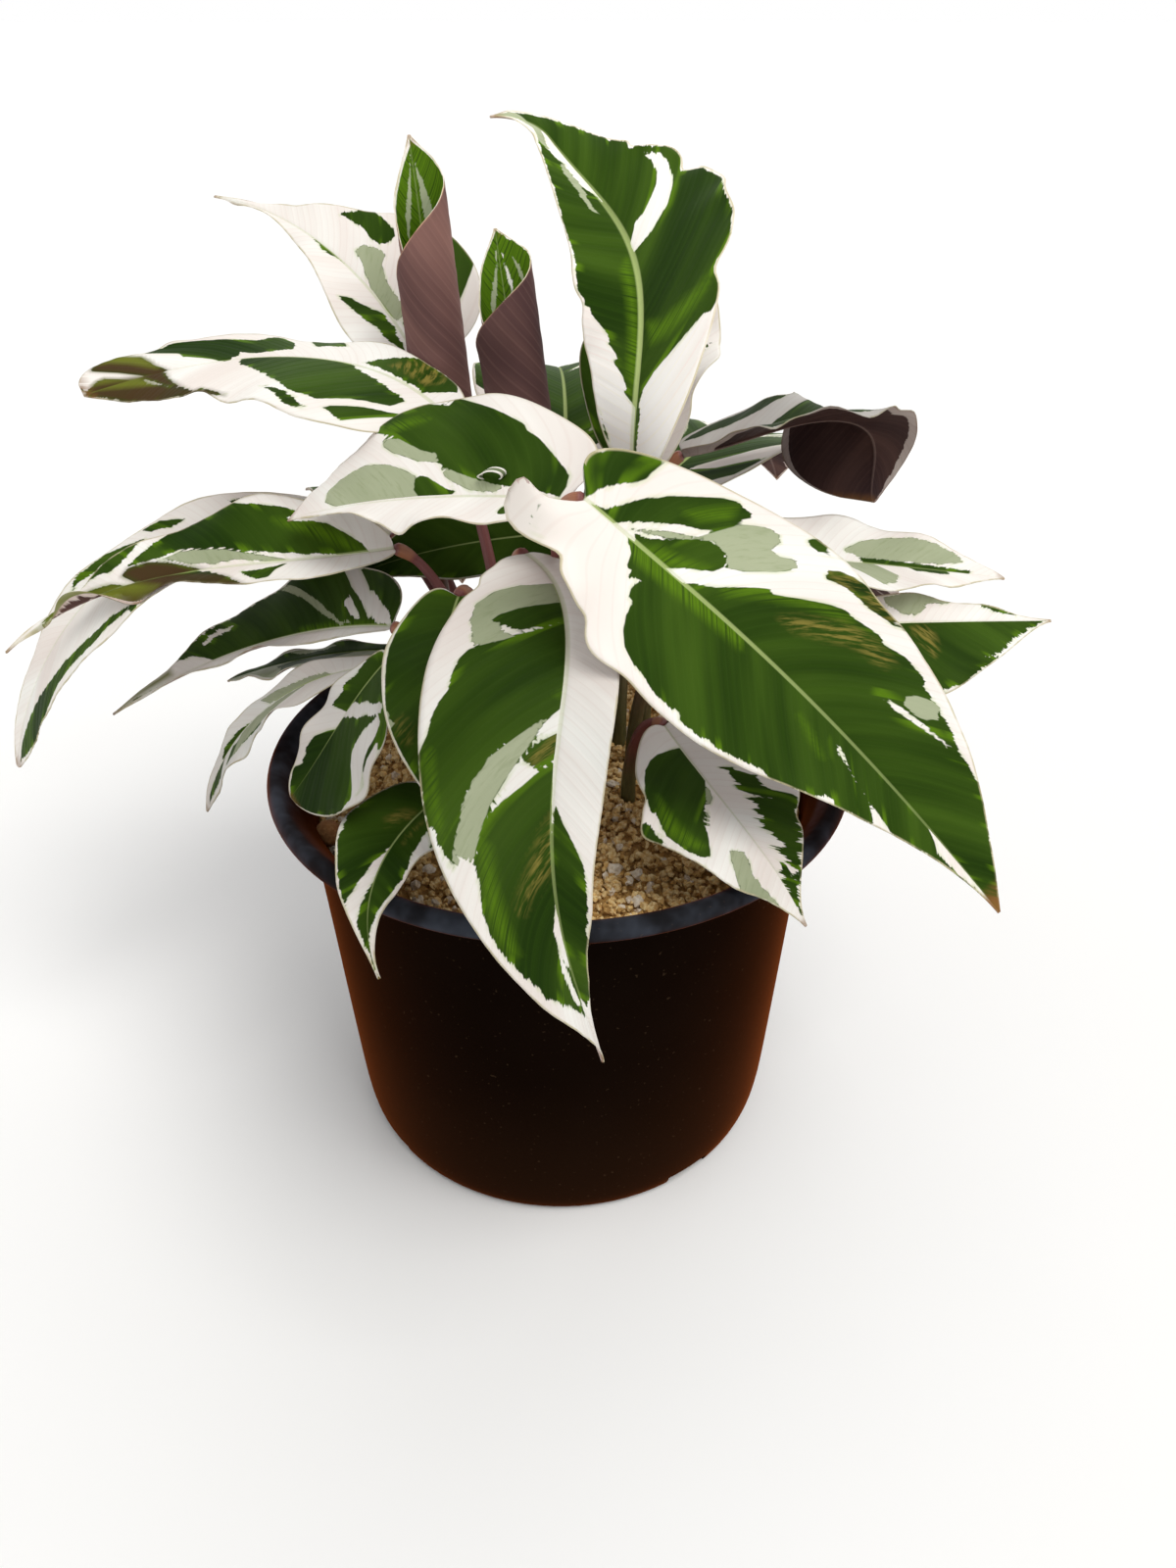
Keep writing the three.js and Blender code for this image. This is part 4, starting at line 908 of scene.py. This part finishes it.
def pot_material():
    p = Paintbox("black_pot_plastic")
    where = p.where()
    grain = p.noise(2600.0, 2.0, 0.6, where)
    smear = p.noise(38.0, 4.0, 0.6, where)
    height = p.add("ShaderNodeSeparateXYZ", {0: where}, out=2)
    dust = p.step(p.noise(900.0, 1.0, 0.4, where), 0.72, 0.78)
    colour = p.mix(smear, srgb(7, 5, 3), srgb(15, 10, 7))
    # painted reflection: a warm brown tint that grows towards the pot's foot
    painted_warm_reflection = p.step(height, 0.06, 0.0, 0.0, 0.6)
    colour = p.mix(painted_warm_reflection, colour, srgb(32, 20, 12))
    # painted highlight: a patchy bluish grey over the top of the rim
    painted_lip_highlight = p.mix(p.step(smear, 0.4, 0.62), srgb(26, 26, 28), srgb(56, 60, 68))
    colour = p.mix(p.step(height, 0.1105, 0.113), colour, painted_lip_highlight)
    colour = p.mix(p.times(dust, 0.1), colour, srgb(120, 96, 72))
    roughness = p.math("MULTIPLY_ADD", smear, 0.2, 0.34)
    normal = p.bump(p.math("MULTIPLY_ADD", smear, 1.5, grain), 0.00004, 0.5)
    return p.finish(colour, roughness, normal, Specular_IOR_Level=0.0, Sheen_Weight=0.55,
                    Sheen_Roughness=0.3, Sheen_Tint=(0.5, 0.12, 0.03, 1.0))


def soil_material(name, dark, light, speckled):
    p = Paintbox(name)
    where = p.where()
    speck = p.noise(900.0, 3.0, 0.7, where)
    colour = p.mix(p.attribute("shade"), dark, light)
    colour = p.mix(p.step(speck, 0.35, 0.75), colour, speckled)
    normal = p.bump(p.noise(2200.0, 3.0, 0.7, where), 0.0003, 0.8)
    return p.finish(colour, p.math("MULTIPLY_ADD", speck, 0.2, 0.7), normal)


LEAF_TOP = leaf_material("leaf_upper_side", False)
LEAF_UNDER = leaf_material("leaf_under_side", True)
PETIOLE = petiole_material()
POT = pot_material()
GRIT = soil_material("golden_grit", srgb(184, 138, 72), srgb(240, 200, 126), srgb(252, 232, 178))
PERLITE = soil_material("pale_perlite", srgb(196, 172, 140), srgb(236, 222, 198),
                        srgb(246, 238, 222))
EARTH = soil_material("dark_earth", srgb(130, 92, 42), srgb(182, 138, 72), srgb(218, 176, 104))
CLAY = soil_material("clay_ball", srgb(150, 96, 52), srgb(176, 118, 66), srgb(196, 146, 92))


# ---------------------------------------------------------------- mesh pieces

def mesh_piece(name, points, faces, materials, face_material=None, smooth=True):
    mesh = bpy.data.meshes.new(name)
    faces = np.asarray(faces)
    starts = np.arange(len(faces), dtype=np.int32) * faces.shape[1]
    mesh.vertices.add(len(points))
    mesh.vertices.foreach_set("co", np.asarray(points, np.float32).ravel())
    mesh.loops.add(faces.size)
    mesh.loops.foreach_set("vertex_index", faces.ravel().astype(np.int32))
    mesh.polygons.add(len(faces))
    mesh.polygons.foreach_set("loop_start", starts)
    mesh.polygons.foreach_set("use_smooth", np.full(len(faces), smooth))
    for material in materials:
        mesh.materials.append(material)
    if face_material is not None:
        mesh.polygons.foreach_set("material_index", np.asarray(face_material, np.int32))
    mesh.update(calc_edges=True)
    mesh.validate()
    obj = bpy.data.objects.new(name, mesh)
    bpy.context.scene.collection.objects.link(obj)
    return obj


def set_attributes(obj, **values):
    for name, array in values.items():
        attribute = obj.data.attributes.new(name, "FLOAT", "POINT")
        attribute.data.foreach_set("value", np.asarray(array, np.float32).ravel())


def keep(obj, node=None):
    """Hands a piece over with its slot, and with the solid that it takes the place of."""
    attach(obj, "root")
    if node:
        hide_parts(node)


def sheet_faces(rows, columns):
    """Upper, lower and margin faces of a sheet whose lower points follow its upper ones."""
    count = rows * columns
    ids = np.arange(count).reshape(rows, columns)
    upper = np.stack([ids[:-1, :-1], ids[1:, :-1], ids[1:, 1:], ids[:-1, 1:]], -1).reshape(-1, 4)
    loop = np.concatenate([ids[0, :-1], ids[:-1, -1], ids[-1, :0:-1], ids[:0:-1, 0]])
    after = np.roll(loop, -1)
    margin = np.stack([loop, after, after + count, loop + count], -1)
    return upper, upper[:, ::-1] + count, margin


def closed_tube(rings, sides):
    """Triangles of rings of points, closed by a point at each end that follow them."""
    ids = np.arange(rings * sides).reshape(rings, sides)
    right = np.roll(ids, -1, 1)
    quads = np.stack([ids[:-1], right[:-1], right[1:], ids[1:]], -1).reshape(-1, 4)
    start = np.full(sides, rings * sides)
    return np.concatenate([
        quads[:, [0, 1, 2]], quads[:, [0, 2, 3]],
        np.stack([right[0], ids[0], start], -1), np.stack([ids[-1], right[-1], start + 1], -1)])


def unit_ball(rounds):
    """Points and triangles of a ball with a radius of 1."""
    bm = bmesh.new()
    bmesh.ops.create_icosphere(bm, subdivisions=rounds, radius=1.0)
    points = np.array([v.co for v in bm.verts])
    faces = np.array([[v.index for v in f.verts] for f in bm.faces])
    bm.free()
    return points, faces


def bell(value, centre, reach):
    return np.exp(-((value - centre) / reach) ** 2)


# ---------------------------------------------------------------- leaves

def blade(name, leaf, number):
    length = leaf["length"]
    look = LOOKS.get(name, {})
    seed = (number * 0.618) % 1.0
    # rows lie closer at both ends, columns closer at the midrib
    rows = int(length) + EXTRA_ROWS
    t = np.linspace(0, 1, rows)
    s_line = t - ROW_CROWDING * np.sin(2 * np.pi * t) / (2 * np.pi)
    i = np.arange(-HALF_COLUMNS, HALF_COLUMNS + 1) / HALF_COLUMNS
    q_line = np.sign(i) * np.abs(i) ** COLUMN_CROWDING
    s, q = np.meshgrid(s_line, q_line, indexing="ij")
    side = (q < 0).astype(int)
    for half, place, reach, share in NICKS.get(name, []):
        q = q * (1 - share * bell(s, place, reach) * (side == half))
    a = np.abs(q)
    width = np.where(side == 0, half_width(leaf, 0, s), half_width(leaf, 1, s))
    x, y = s * length, a * width
    u = vein_place(x, y, length)
    point, normal = surface(leaf, s, q)
    ends = np.clip(np.minimum(s, 1 - s) * END_FADE, 0, 1)
    quilt = QUILT_HEIGHT * np.sin(2 * np.pi * u / QUILT_SPACING + 9 * seed + 0.8 * np.sin(u / 7.0))
    quilt = quilt * np.clip(y / QUILT_START, 0, 1) * ends
    ruffle = np.sin(u / 6.1 + 20 * seed + 3 * side) + 0.6 * np.sin(u / 2.9 + 7 * seed + side)
    ruffle = RUFFLE_HEIGHT * ruffle * a ** 5 * ends * np.clip(width / RUFFLE_WIDTH, 0, 1)
    for half, place, reach, height in FRILLS.get(name, []):
        ruffle += height * bell(s, place, reach) * a ** 4 * (side == half)
    thick = BLADE_THICKNESS + (MARGIN_THICKNESS - BLADE_THICKNESS) * a ** 2
    ribwidth = (RIB_WIDTH - RIB_TAPER * s) * np.clip(length / 90, 0.6, 1.2)
    ribwidth = ribwidth * look.get("ribwide", 1.0)
    groove = -GROOVE_DEPTH * bell(y, 0, 1.1 * ribwidth) * (1 - 0.6 * s)
    ridge = RIDGE_HEIGHT * bell(y, 0, 0.9 * ribwidth) * (1 - 0.8 * s)
    top = point + normal * (thick / 2 + quilt + ruffle + groove)[..., None]
    bottom = point + normal * (-thick / 2 + quilt + ruffle - ridge)[..., None]
    points = np.concatenate([top.reshape(-1, 3), bottom.reshape(-1, 3)]) * MM
    faces = sheet_faces(rows, len(q_line))
    which = np.repeat([0, 1, 0], [len(part) for part in faces])
    obj = mesh_piece("blade_" + name, points, np.concatenate(faces), [LEAF_TOP, LEAF_UNDER],
                     which)

    margin = (np.where(side == 0, a[:, -1:], a[:, :1]) - a) * width
    same = np.ones(s.shape)
    values = {key: 0 * s for key in ("white", "grey", "white_run", "grey_run") + SOFT}
    dry = np.clip((s - look.get("dry_from", DRY_START)) * DRY_FADE, 0, 1)
    values["dry"] = dry * look.get("dry", DRY_SHARE)
    values["vein"] = u
    values["rib"] = y
    values["edge"] = margin + 3 * (s < 0.02)
    values["ribwidth"] = ribwidth
    values["ribpale"] = look.get("ribpale", RIB_PALENESS) * np.clip(1.2 - s, 0, 1)
    values["seed"] = seed * same
    values["tone"] = look.get("tone", 1.0) * same
    values["through"] = look.get("through", 1.0) * same
    along_vein = vein_direction(x, y, length)
    for half, (base, rim, jag, patches) in enumerate(marbling(name, number)):
        mask = side == half
        px, py = x[mask], y[mask]
        fields, soft = paint(leaf, half, px, py, base, patches)
        moved, _ = paint(leaf, half, px + RUN_STEP * along_vein[0][mask],
                         py + RUN_STEP * along_vein[1][mask], base,
                         [patch for patch in patches if patch[0] not in soft])
        # a pale rim of uneven width
        strip = rim * (1 + 0.45 * np.sin(px / 9.0 + 30 * seed) + 0.3 * np.sin(px / 3.7 + 3))
        for key in fields:
            values[key + "_run"][mask] = jag * np.clip((moved[key] - fields[key]) / RUN_STEP, -1, 1)
        fields["white"] = np.maximum(fields["white"], strip - margin[mask])
        for key, array in {**fields, **soft}.items():
            values[key][mask] = array
    set_attributes(obj, **{key: np.tile(array.ravel(), 2) for key, array in values.items()})
    keep(obj, "leaf_" + name)


def torn_curl(leaf, s, q):
    """A curl of torn leaf, standing on the blade at s along and q across."""
    point, normal = (v[0] for v in surface(leaf, np.array([s]), np.array([q])))
    forward, left, _ = (v[0] for v in axes(leaf, np.array([s])))
    turn = np.radians(np.linspace(-60, 250, CURL_POINTS))[:, None]
    across = np.linspace(-1, 1, CURL_COLUMNS)
    radius = 2.3 + 0.4 * np.sin(2 * turn)
    ring = -np.cos(turn) * radius * 1.4 * forward + (np.sin(turn) + 0.7) * radius * 0.75 * normal
    out = (-np.cos(turn) * forward + np.sin(turn) * normal)[:, None]
    reach = 1.5 * np.sin(np.radians(np.linspace(20, 160, CURL_POINTS)))[:, None]
    centre = point + ring[:, None] + (reach * across)[..., None] * (0.8 * left + 0.4 * normal)
    inner, outer = centre - CURL_THICKNESS / 2 * out, centre + CURL_THICKNESS / 2 * out
    points = np.concatenate([inner.reshape(-1, 3), outer.reshape(-1, 3)]) * MM
    faces = np.concatenate(sheet_faces(CURL_POINTS, CURL_COLUMNS))
    obj = mesh_piece("torn_curl", points, faces, [LEAF_TOP])
    edge = np.tile(np.abs(across), 2 * CURL_POINTS)
    same = np.ones(len(edge))
    set_attributes(obj, white=3.0 * edge - 1.5, tone=same, edge=5 * same, rib=9 * same,
                   ribwidth=same, seed=0.3 * same)
    keep(obj)


def bezier(points, t):
    a, b, c, d = points
    t = t[:, None]
    return (1 - t) ** 3 * a + 3 * (1 - t) ** 2 * t * b + 3 * (1 - t) * t ** 2 * c + t ** 3 * d


def petiole(name, leaf, number):
    forward, _, up = axes(leaf, np.array(0.0))
    joint = math.radians(leaf["joint"])
    arrival = forward * math.cos(joint) + up * math.sin(joint)
    gap = STEM_GAP + CAD_THICKNESS / 2 * math.sin(joint) - BLADE_THICKNESS / 2
    end = np.array(leaf["base"], float) - arrival * gap
    ground = np.array([*leaf["foot"], SOIL_HEIGHT + SOIL_MOUND], float)
    rise = end[2] - ground[2]
    lower = ground + np.array([0, 0, 0.45 * rise])
    upper = end - arrival * min(14, 0.3 * rise)
    t = np.linspace(0, 1, STEM_STEPS)
    buried = [[*leaf["foot"], SOIL_HEIGHT - depth] for depth in STEM_DEPTHS]
    path = np.vstack([buried, bezier((ground, lower, upper, end), t)])
    place = np.concatenate([[-0.1, -0.05, -0.02], t])
    taper = (STEM_TOP_RADIUS - STEM_FOOT_RADIUS) * np.clip(place, 0, 1) / JOINT_START
    swell = JOINT_SWELL * np.sin(0.75 * np.pi * (place - JOINT_START) / (1 - JOINT_START))
    radius = np.where(place < JOINT_START, STEM_FOOT_RADIUS + taper, STEM_TOP_RADIUS + swell)
    radius[-1] *= 0.8
    turn = np.arange(STEM_SIDES) / STEM_SIDES
    angle = 2 * np.pi * turn
    # the channel on the petiole's upper side ends below the joint
    channel = CHANNEL_DEPTH * bell(turn, 0.5, CHANNEL_WIDTH)
    tangent = np.gradient(path, axis=0)
    tangent /= np.linalg.norm(tangent, axis=1, keepdims=True)
    across = np.array([1.0, 0, 0])
    rings = []
    for centre, direction, r, at in zip(path, tangent, radius, place):
        across = across - direction * (across @ direction)
        across /= np.linalg.norm(across)
        other = np.cross(direction, across)
        ribs = 1 + 0.05 * np.cos(5 * angle) + 0.035 * np.cos(9 * angle + 4 * at)
        ribs = ribs - channel * (at < CHANNEL_END)
        rings.append(centre + (r * ribs)[:, None] * (np.cos(angle)[:, None] * across
                                                     + np.sin(angle)[:, None] * other))
    points = np.concatenate(rings + [path[:1], path[-1:]]) * MM
    obj = mesh_piece("petiole_" + name, points, closed_tube(len(path), STEM_SIDES), [PETIOLE])
    set_attributes(obj, along=np.concatenate([np.repeat(place, STEM_SIDES), [0, 1]]),
                   turn=np.concatenate([np.tile(np.abs(turn - 0.5) * 2, len(path)), [0, 0]]),
                   seed=np.full(len(points), (number * 0.37) % 1 * 9))
    keep(obj, "stem_" + name)


# ---------------------------------------------------------------- pot and soil

def smooth_line(points, rounds):
    """Corner cutting: rounds off a profile but keeps its ends."""
    points = np.array(points, float)
    for _ in range(rounds):
        a, b = points[:-1], points[1:]
        cut = np.stack([0.75 * a + 0.25 * b, 0.25 * a + 0.75 * b], 1).reshape(-1, 2)
        points = np.vstack([points[:1], cut, points[-1:]])
    return points


def circle(sides):
    """Points of a circle with a radius of 1."""
    angle = 2 * np.pi * np.arange(sides) / sides
    return np.stack([np.cos(angle), np.sin(angle)], -1)


def spin(profile, sides):
    """Closed lathe of a profile whose first and last points are on the axis."""
    ring = circle(sides)
    rings = [np.column_stack([radius * ring, np.full(sides, z)]) for radius, z in profile[1:-1]]
    ends = [[[0, 0, profile[0][1]]], [[0, 0, profile[-1][1]]]]
    return np.concatenate(rings + ends), closed_tube(len(rings), sides)


def pot():
    points, triangles = spin(smooth_line(POT_OUTSIDE + POT_INSIDE, 3), POT_SIDES)
    obj = mesh_piece("grower_pot", points * MM, triangles, [POT])
    cutters = []
    for i in range(NOTCHES):
        bpy.ops.mesh.primitive_cube_add(size=1)
        box = bpy.context.object
        box.scale = (NOTCH_WIDTH * MM, NOTCH_WIDTH * MM, NOTCH_HEIGHT * MM)
        angle = math.radians(FIRST_NOTCH + 360 / NOTCHES * i)
        place = NOTCH_PLACE * MM
        box.location = (place * math.cos(angle), place * math.sin(angle), 0)
        box.rotation_euler = (0, 0, angle)
        cut = obj.modifiers.new("notch", "BOOLEAN")
        cut.operation, cut.object, cut.solver = "DIFFERENCE", box, "EXACT"
        cutters.append(box)
    bpy.context.view_layer.update()
    shape = obj.evaluated_get(bpy.context.evaluated_depsgraph_get())
    mesh = bpy.data.meshes.new_from_object(shape)
    obj.modifiers.clear()
    obj.data = mesh
    for box in cutters:
        bpy.data.objects.remove(box)
    mesh.set_sharp_from_angle(angle=math.radians(50))
    keep(obj, "pot")


def soil_height(x, y):
    clods = np.sin(0.31 * x + 1) * np.cos(0.27 * y) + 0.6 * np.sin(0.13 * x - 0.17 * y)
    return SOIL_HEIGHT + SOIL_MOUND * (0.5 - (np.hypot(x, y) / SOIL_EDGE) ** 2) + SOIL_GRAIN * clods


def soil_bed():
    ring = circle(SOIL_SPOKES)
    radius = np.linspace(0, SOIL_RADIUS, SOIL_RINGS + 1)[1:]
    x, y = np.moveaxis(radius[:, None, None] * ring, -1, 0)
    rough = SOIL_ROUGHNESS * rng.random(x.shape)
    top = np.stack([x, y, soil_height(x, y) - rough], -1).reshape(-1, 3)
    wall = [np.column_stack([reach * ring, np.full(SOIL_SPOKES, z)]) for reach, z in SOIL_WALL]
    ends = [[[0, 0, soil_height(0, 0)]], [[0, 0, SOIL_WALL[-1][1]]]]
    points = np.concatenate([top, *wall, *ends])
    triangles = closed_tube(SOIL_RINGS + len(wall), SOIL_SPOKES)[:, ::-1]
    obj = mesh_piece("soil_bed", points * MM, triangles, [EARTH])
    set_attributes(obj, shade=rng.random(len(points)))
    keep(obj, "soil")


def grains(name, count, sizes, rounds, material, lift):
    """Loose stones scattered over the soil as one mesh."""
    ball, faces = unit_ball(rounds)
    points, triangles, shades = [], [], []
    feet = np.array([leaf["foot"] for leaf in LEAVES.values()], float)
    for k in range(count):
        while True:
            r, a = GRAIN_SPREAD * math.sqrt(rng.random()), 2 * math.pi * rng.random()
            x, y = r * math.cos(a), r * math.sin(a)
            if np.min(np.hypot(feet[:, 0] - x, feet[:, 1] - y)) > GRAIN_CLEAR:
                break
        size = rng.uniform(*sizes) * (0.7 + 0.6 * rng.random() ** 2)
        stretch = rng.uniform(0.6, 1.15, 3)
        dents = 1 + 0.2 * rng.standard_normal(len(ball))
        shape = ball * dents[:, None] * stretch * size
        for (i, j), angle in zip([(1, 2), (0, 2), (0, 1)], rng.uniform(0, 2 * math.pi, 3)):
            c, s = math.cos(angle), math.sin(angle)
            shape[:, [i, j]] = shape[:, [i, j]] @ np.array([[c, s], [-s, c]])
        z = soil_height(x, y) + GRAIN_RISE * size + lift * rng.random()
        points.append(shape + [x, y, z])
        triangles.append(faces + k * len(ball))
        shades.append(np.full(len(ball), rng.random()))
    obj = mesh_piece(name, np.concatenate(points) * MM, np.concatenate(triangles), [material],
                     smooth=False)
    set_attributes(obj, shade=np.concatenate(shades))
    keep(obj)


def clay_ball(x, y, radius):
    ball, faces = unit_ball(4)
    bumps = 1 + 0.02 * np.sin(7 * ball[:, 0] + 3) * np.sin(6 * ball[:, 1]) * np.cos(5 * ball[:, 2])
    points = ball * bumps[:, None] * radius + [x, y, soil_height(x, y) + 0.5 * radius]
    obj = mesh_piece("clay_ball", points * MM, faces, [CLAY])
    set_attributes(obj, shade=np.full(len(points), 0.5))
    keep(obj)


# ---------------------------------------------------------------- stage

def camera():
    data = bpy.data.cameras.new("camera")
    data.sensor_width, data.lens, data.sensor_fit = SENSOR, LENS, "AUTO"
    data.clip_start, data.clip_end = 0.01, 200
    obj = bpy.data.objects.new("camera", data)
    obj.location = EYE
    obj.rotation_euler = (math.radians(90 - EYE_PITCH), 0, -math.radians(EYE_YAW))
    bpy.context.scene.collection.objects.link(obj)
    bpy.context.scene.camera = obj


def lamp(name, place, strength, spread, colour):
    """Soft light from far away, as wide as spread degrees, in the direction of place."""
    data = bpy.data.lights.new(name, "SUN")
    data.angle, data.energy, data.color = math.radians(spread), strength, colour
    obj = bpy.data.objects.new(name, data)
    obj.location = place
    obj.rotation_euler = Vector(place).to_track_quat("Z", "Y").to_euler()
    bpy.context.scene.collection.objects.link(obj)


def floor():
    p = Paintbox("pale_floor")
    cloud = p.noise(6.0, 2.0, 0.5, p.where())
    p.finish(p.mix(cloud, (0.885, 0.885, 0.88), (0.905, 0.905, 0.9)), 0.9)
    level = np.full(FLOOR_SIDES, FLOOR_LEVEL)
    points = np.vstack([[0, 0, FLOOR_LEVEL],
                        np.column_stack([FLOOR_RADIUS * circle(FLOOR_SIDES), level])])
    edge = np.arange(FLOOR_SIDES)
    faces = np.stack([0 * edge, 1 + edge, 1 + np.roll(edge, -1)], -1)
    mesh_piece("floor", points, faces, [p.material], smooth=False)


def studio():
    """White surroundings, dimmer overhead, and two wide lamps."""
    world = bpy.data.worlds.new("studio")
    bpy.context.scene.world = world
    world.use_nodes = True
    nodes, links = world.node_tree.nodes, world.node_tree.links
    background = nodes["Background"]
    direction = nodes.new("ShaderNodeTexCoord").outputs["Generated"]
    height = nodes.new("ShaderNodeSeparateXYZ")
    links.new(direction, height.inputs[0])
    fade = nodes.new("ShaderNodeMapRange")
    fade.interpolation_type = "SMOOTHSTEP"
    links.new(height.outputs["Z"], fade.inputs["Value"])
    for key, value in {"From Min": 0.3, "From Max": 0.75, "To Min": 1.0, "To Max": SKY}.items():
        fade.inputs[key].default_value = value
    links.new(fade.outputs[0], background.inputs["Strength"])
    background.inputs["Color"].default_value = (1.0, 1.0, 1.0, 1)
    for name, settings in LAMPS.items():
        lamp(name, *settings)
    bpy.context.scene.view_settings.view_transform = "Standard"


camera()
floor()
studio()
pot()
soil_bed()
grains("soil_grit", 5200, (0.7, 1.35), 1, GRIT, 0.8)
grains("soil_crumbs", 2200, (0.5, 1.1), 1, EARTH, 0.9)
grains("soil_perlite", 300, (0.9, 1.7), 2, PERLITE, 1.0)
for number, (name, row) in enumerate(LEAVES.items()):
    leaf = {**DEFAULTS, **row}
    petiole(name, leaf, number)
    blade(name, leaf, number)
torn_curl({**DEFAULTS, **LEAVES["centre_left"]}, 0.255, -0.18)
clay_ball(-59.5, -24.5, 3.4)
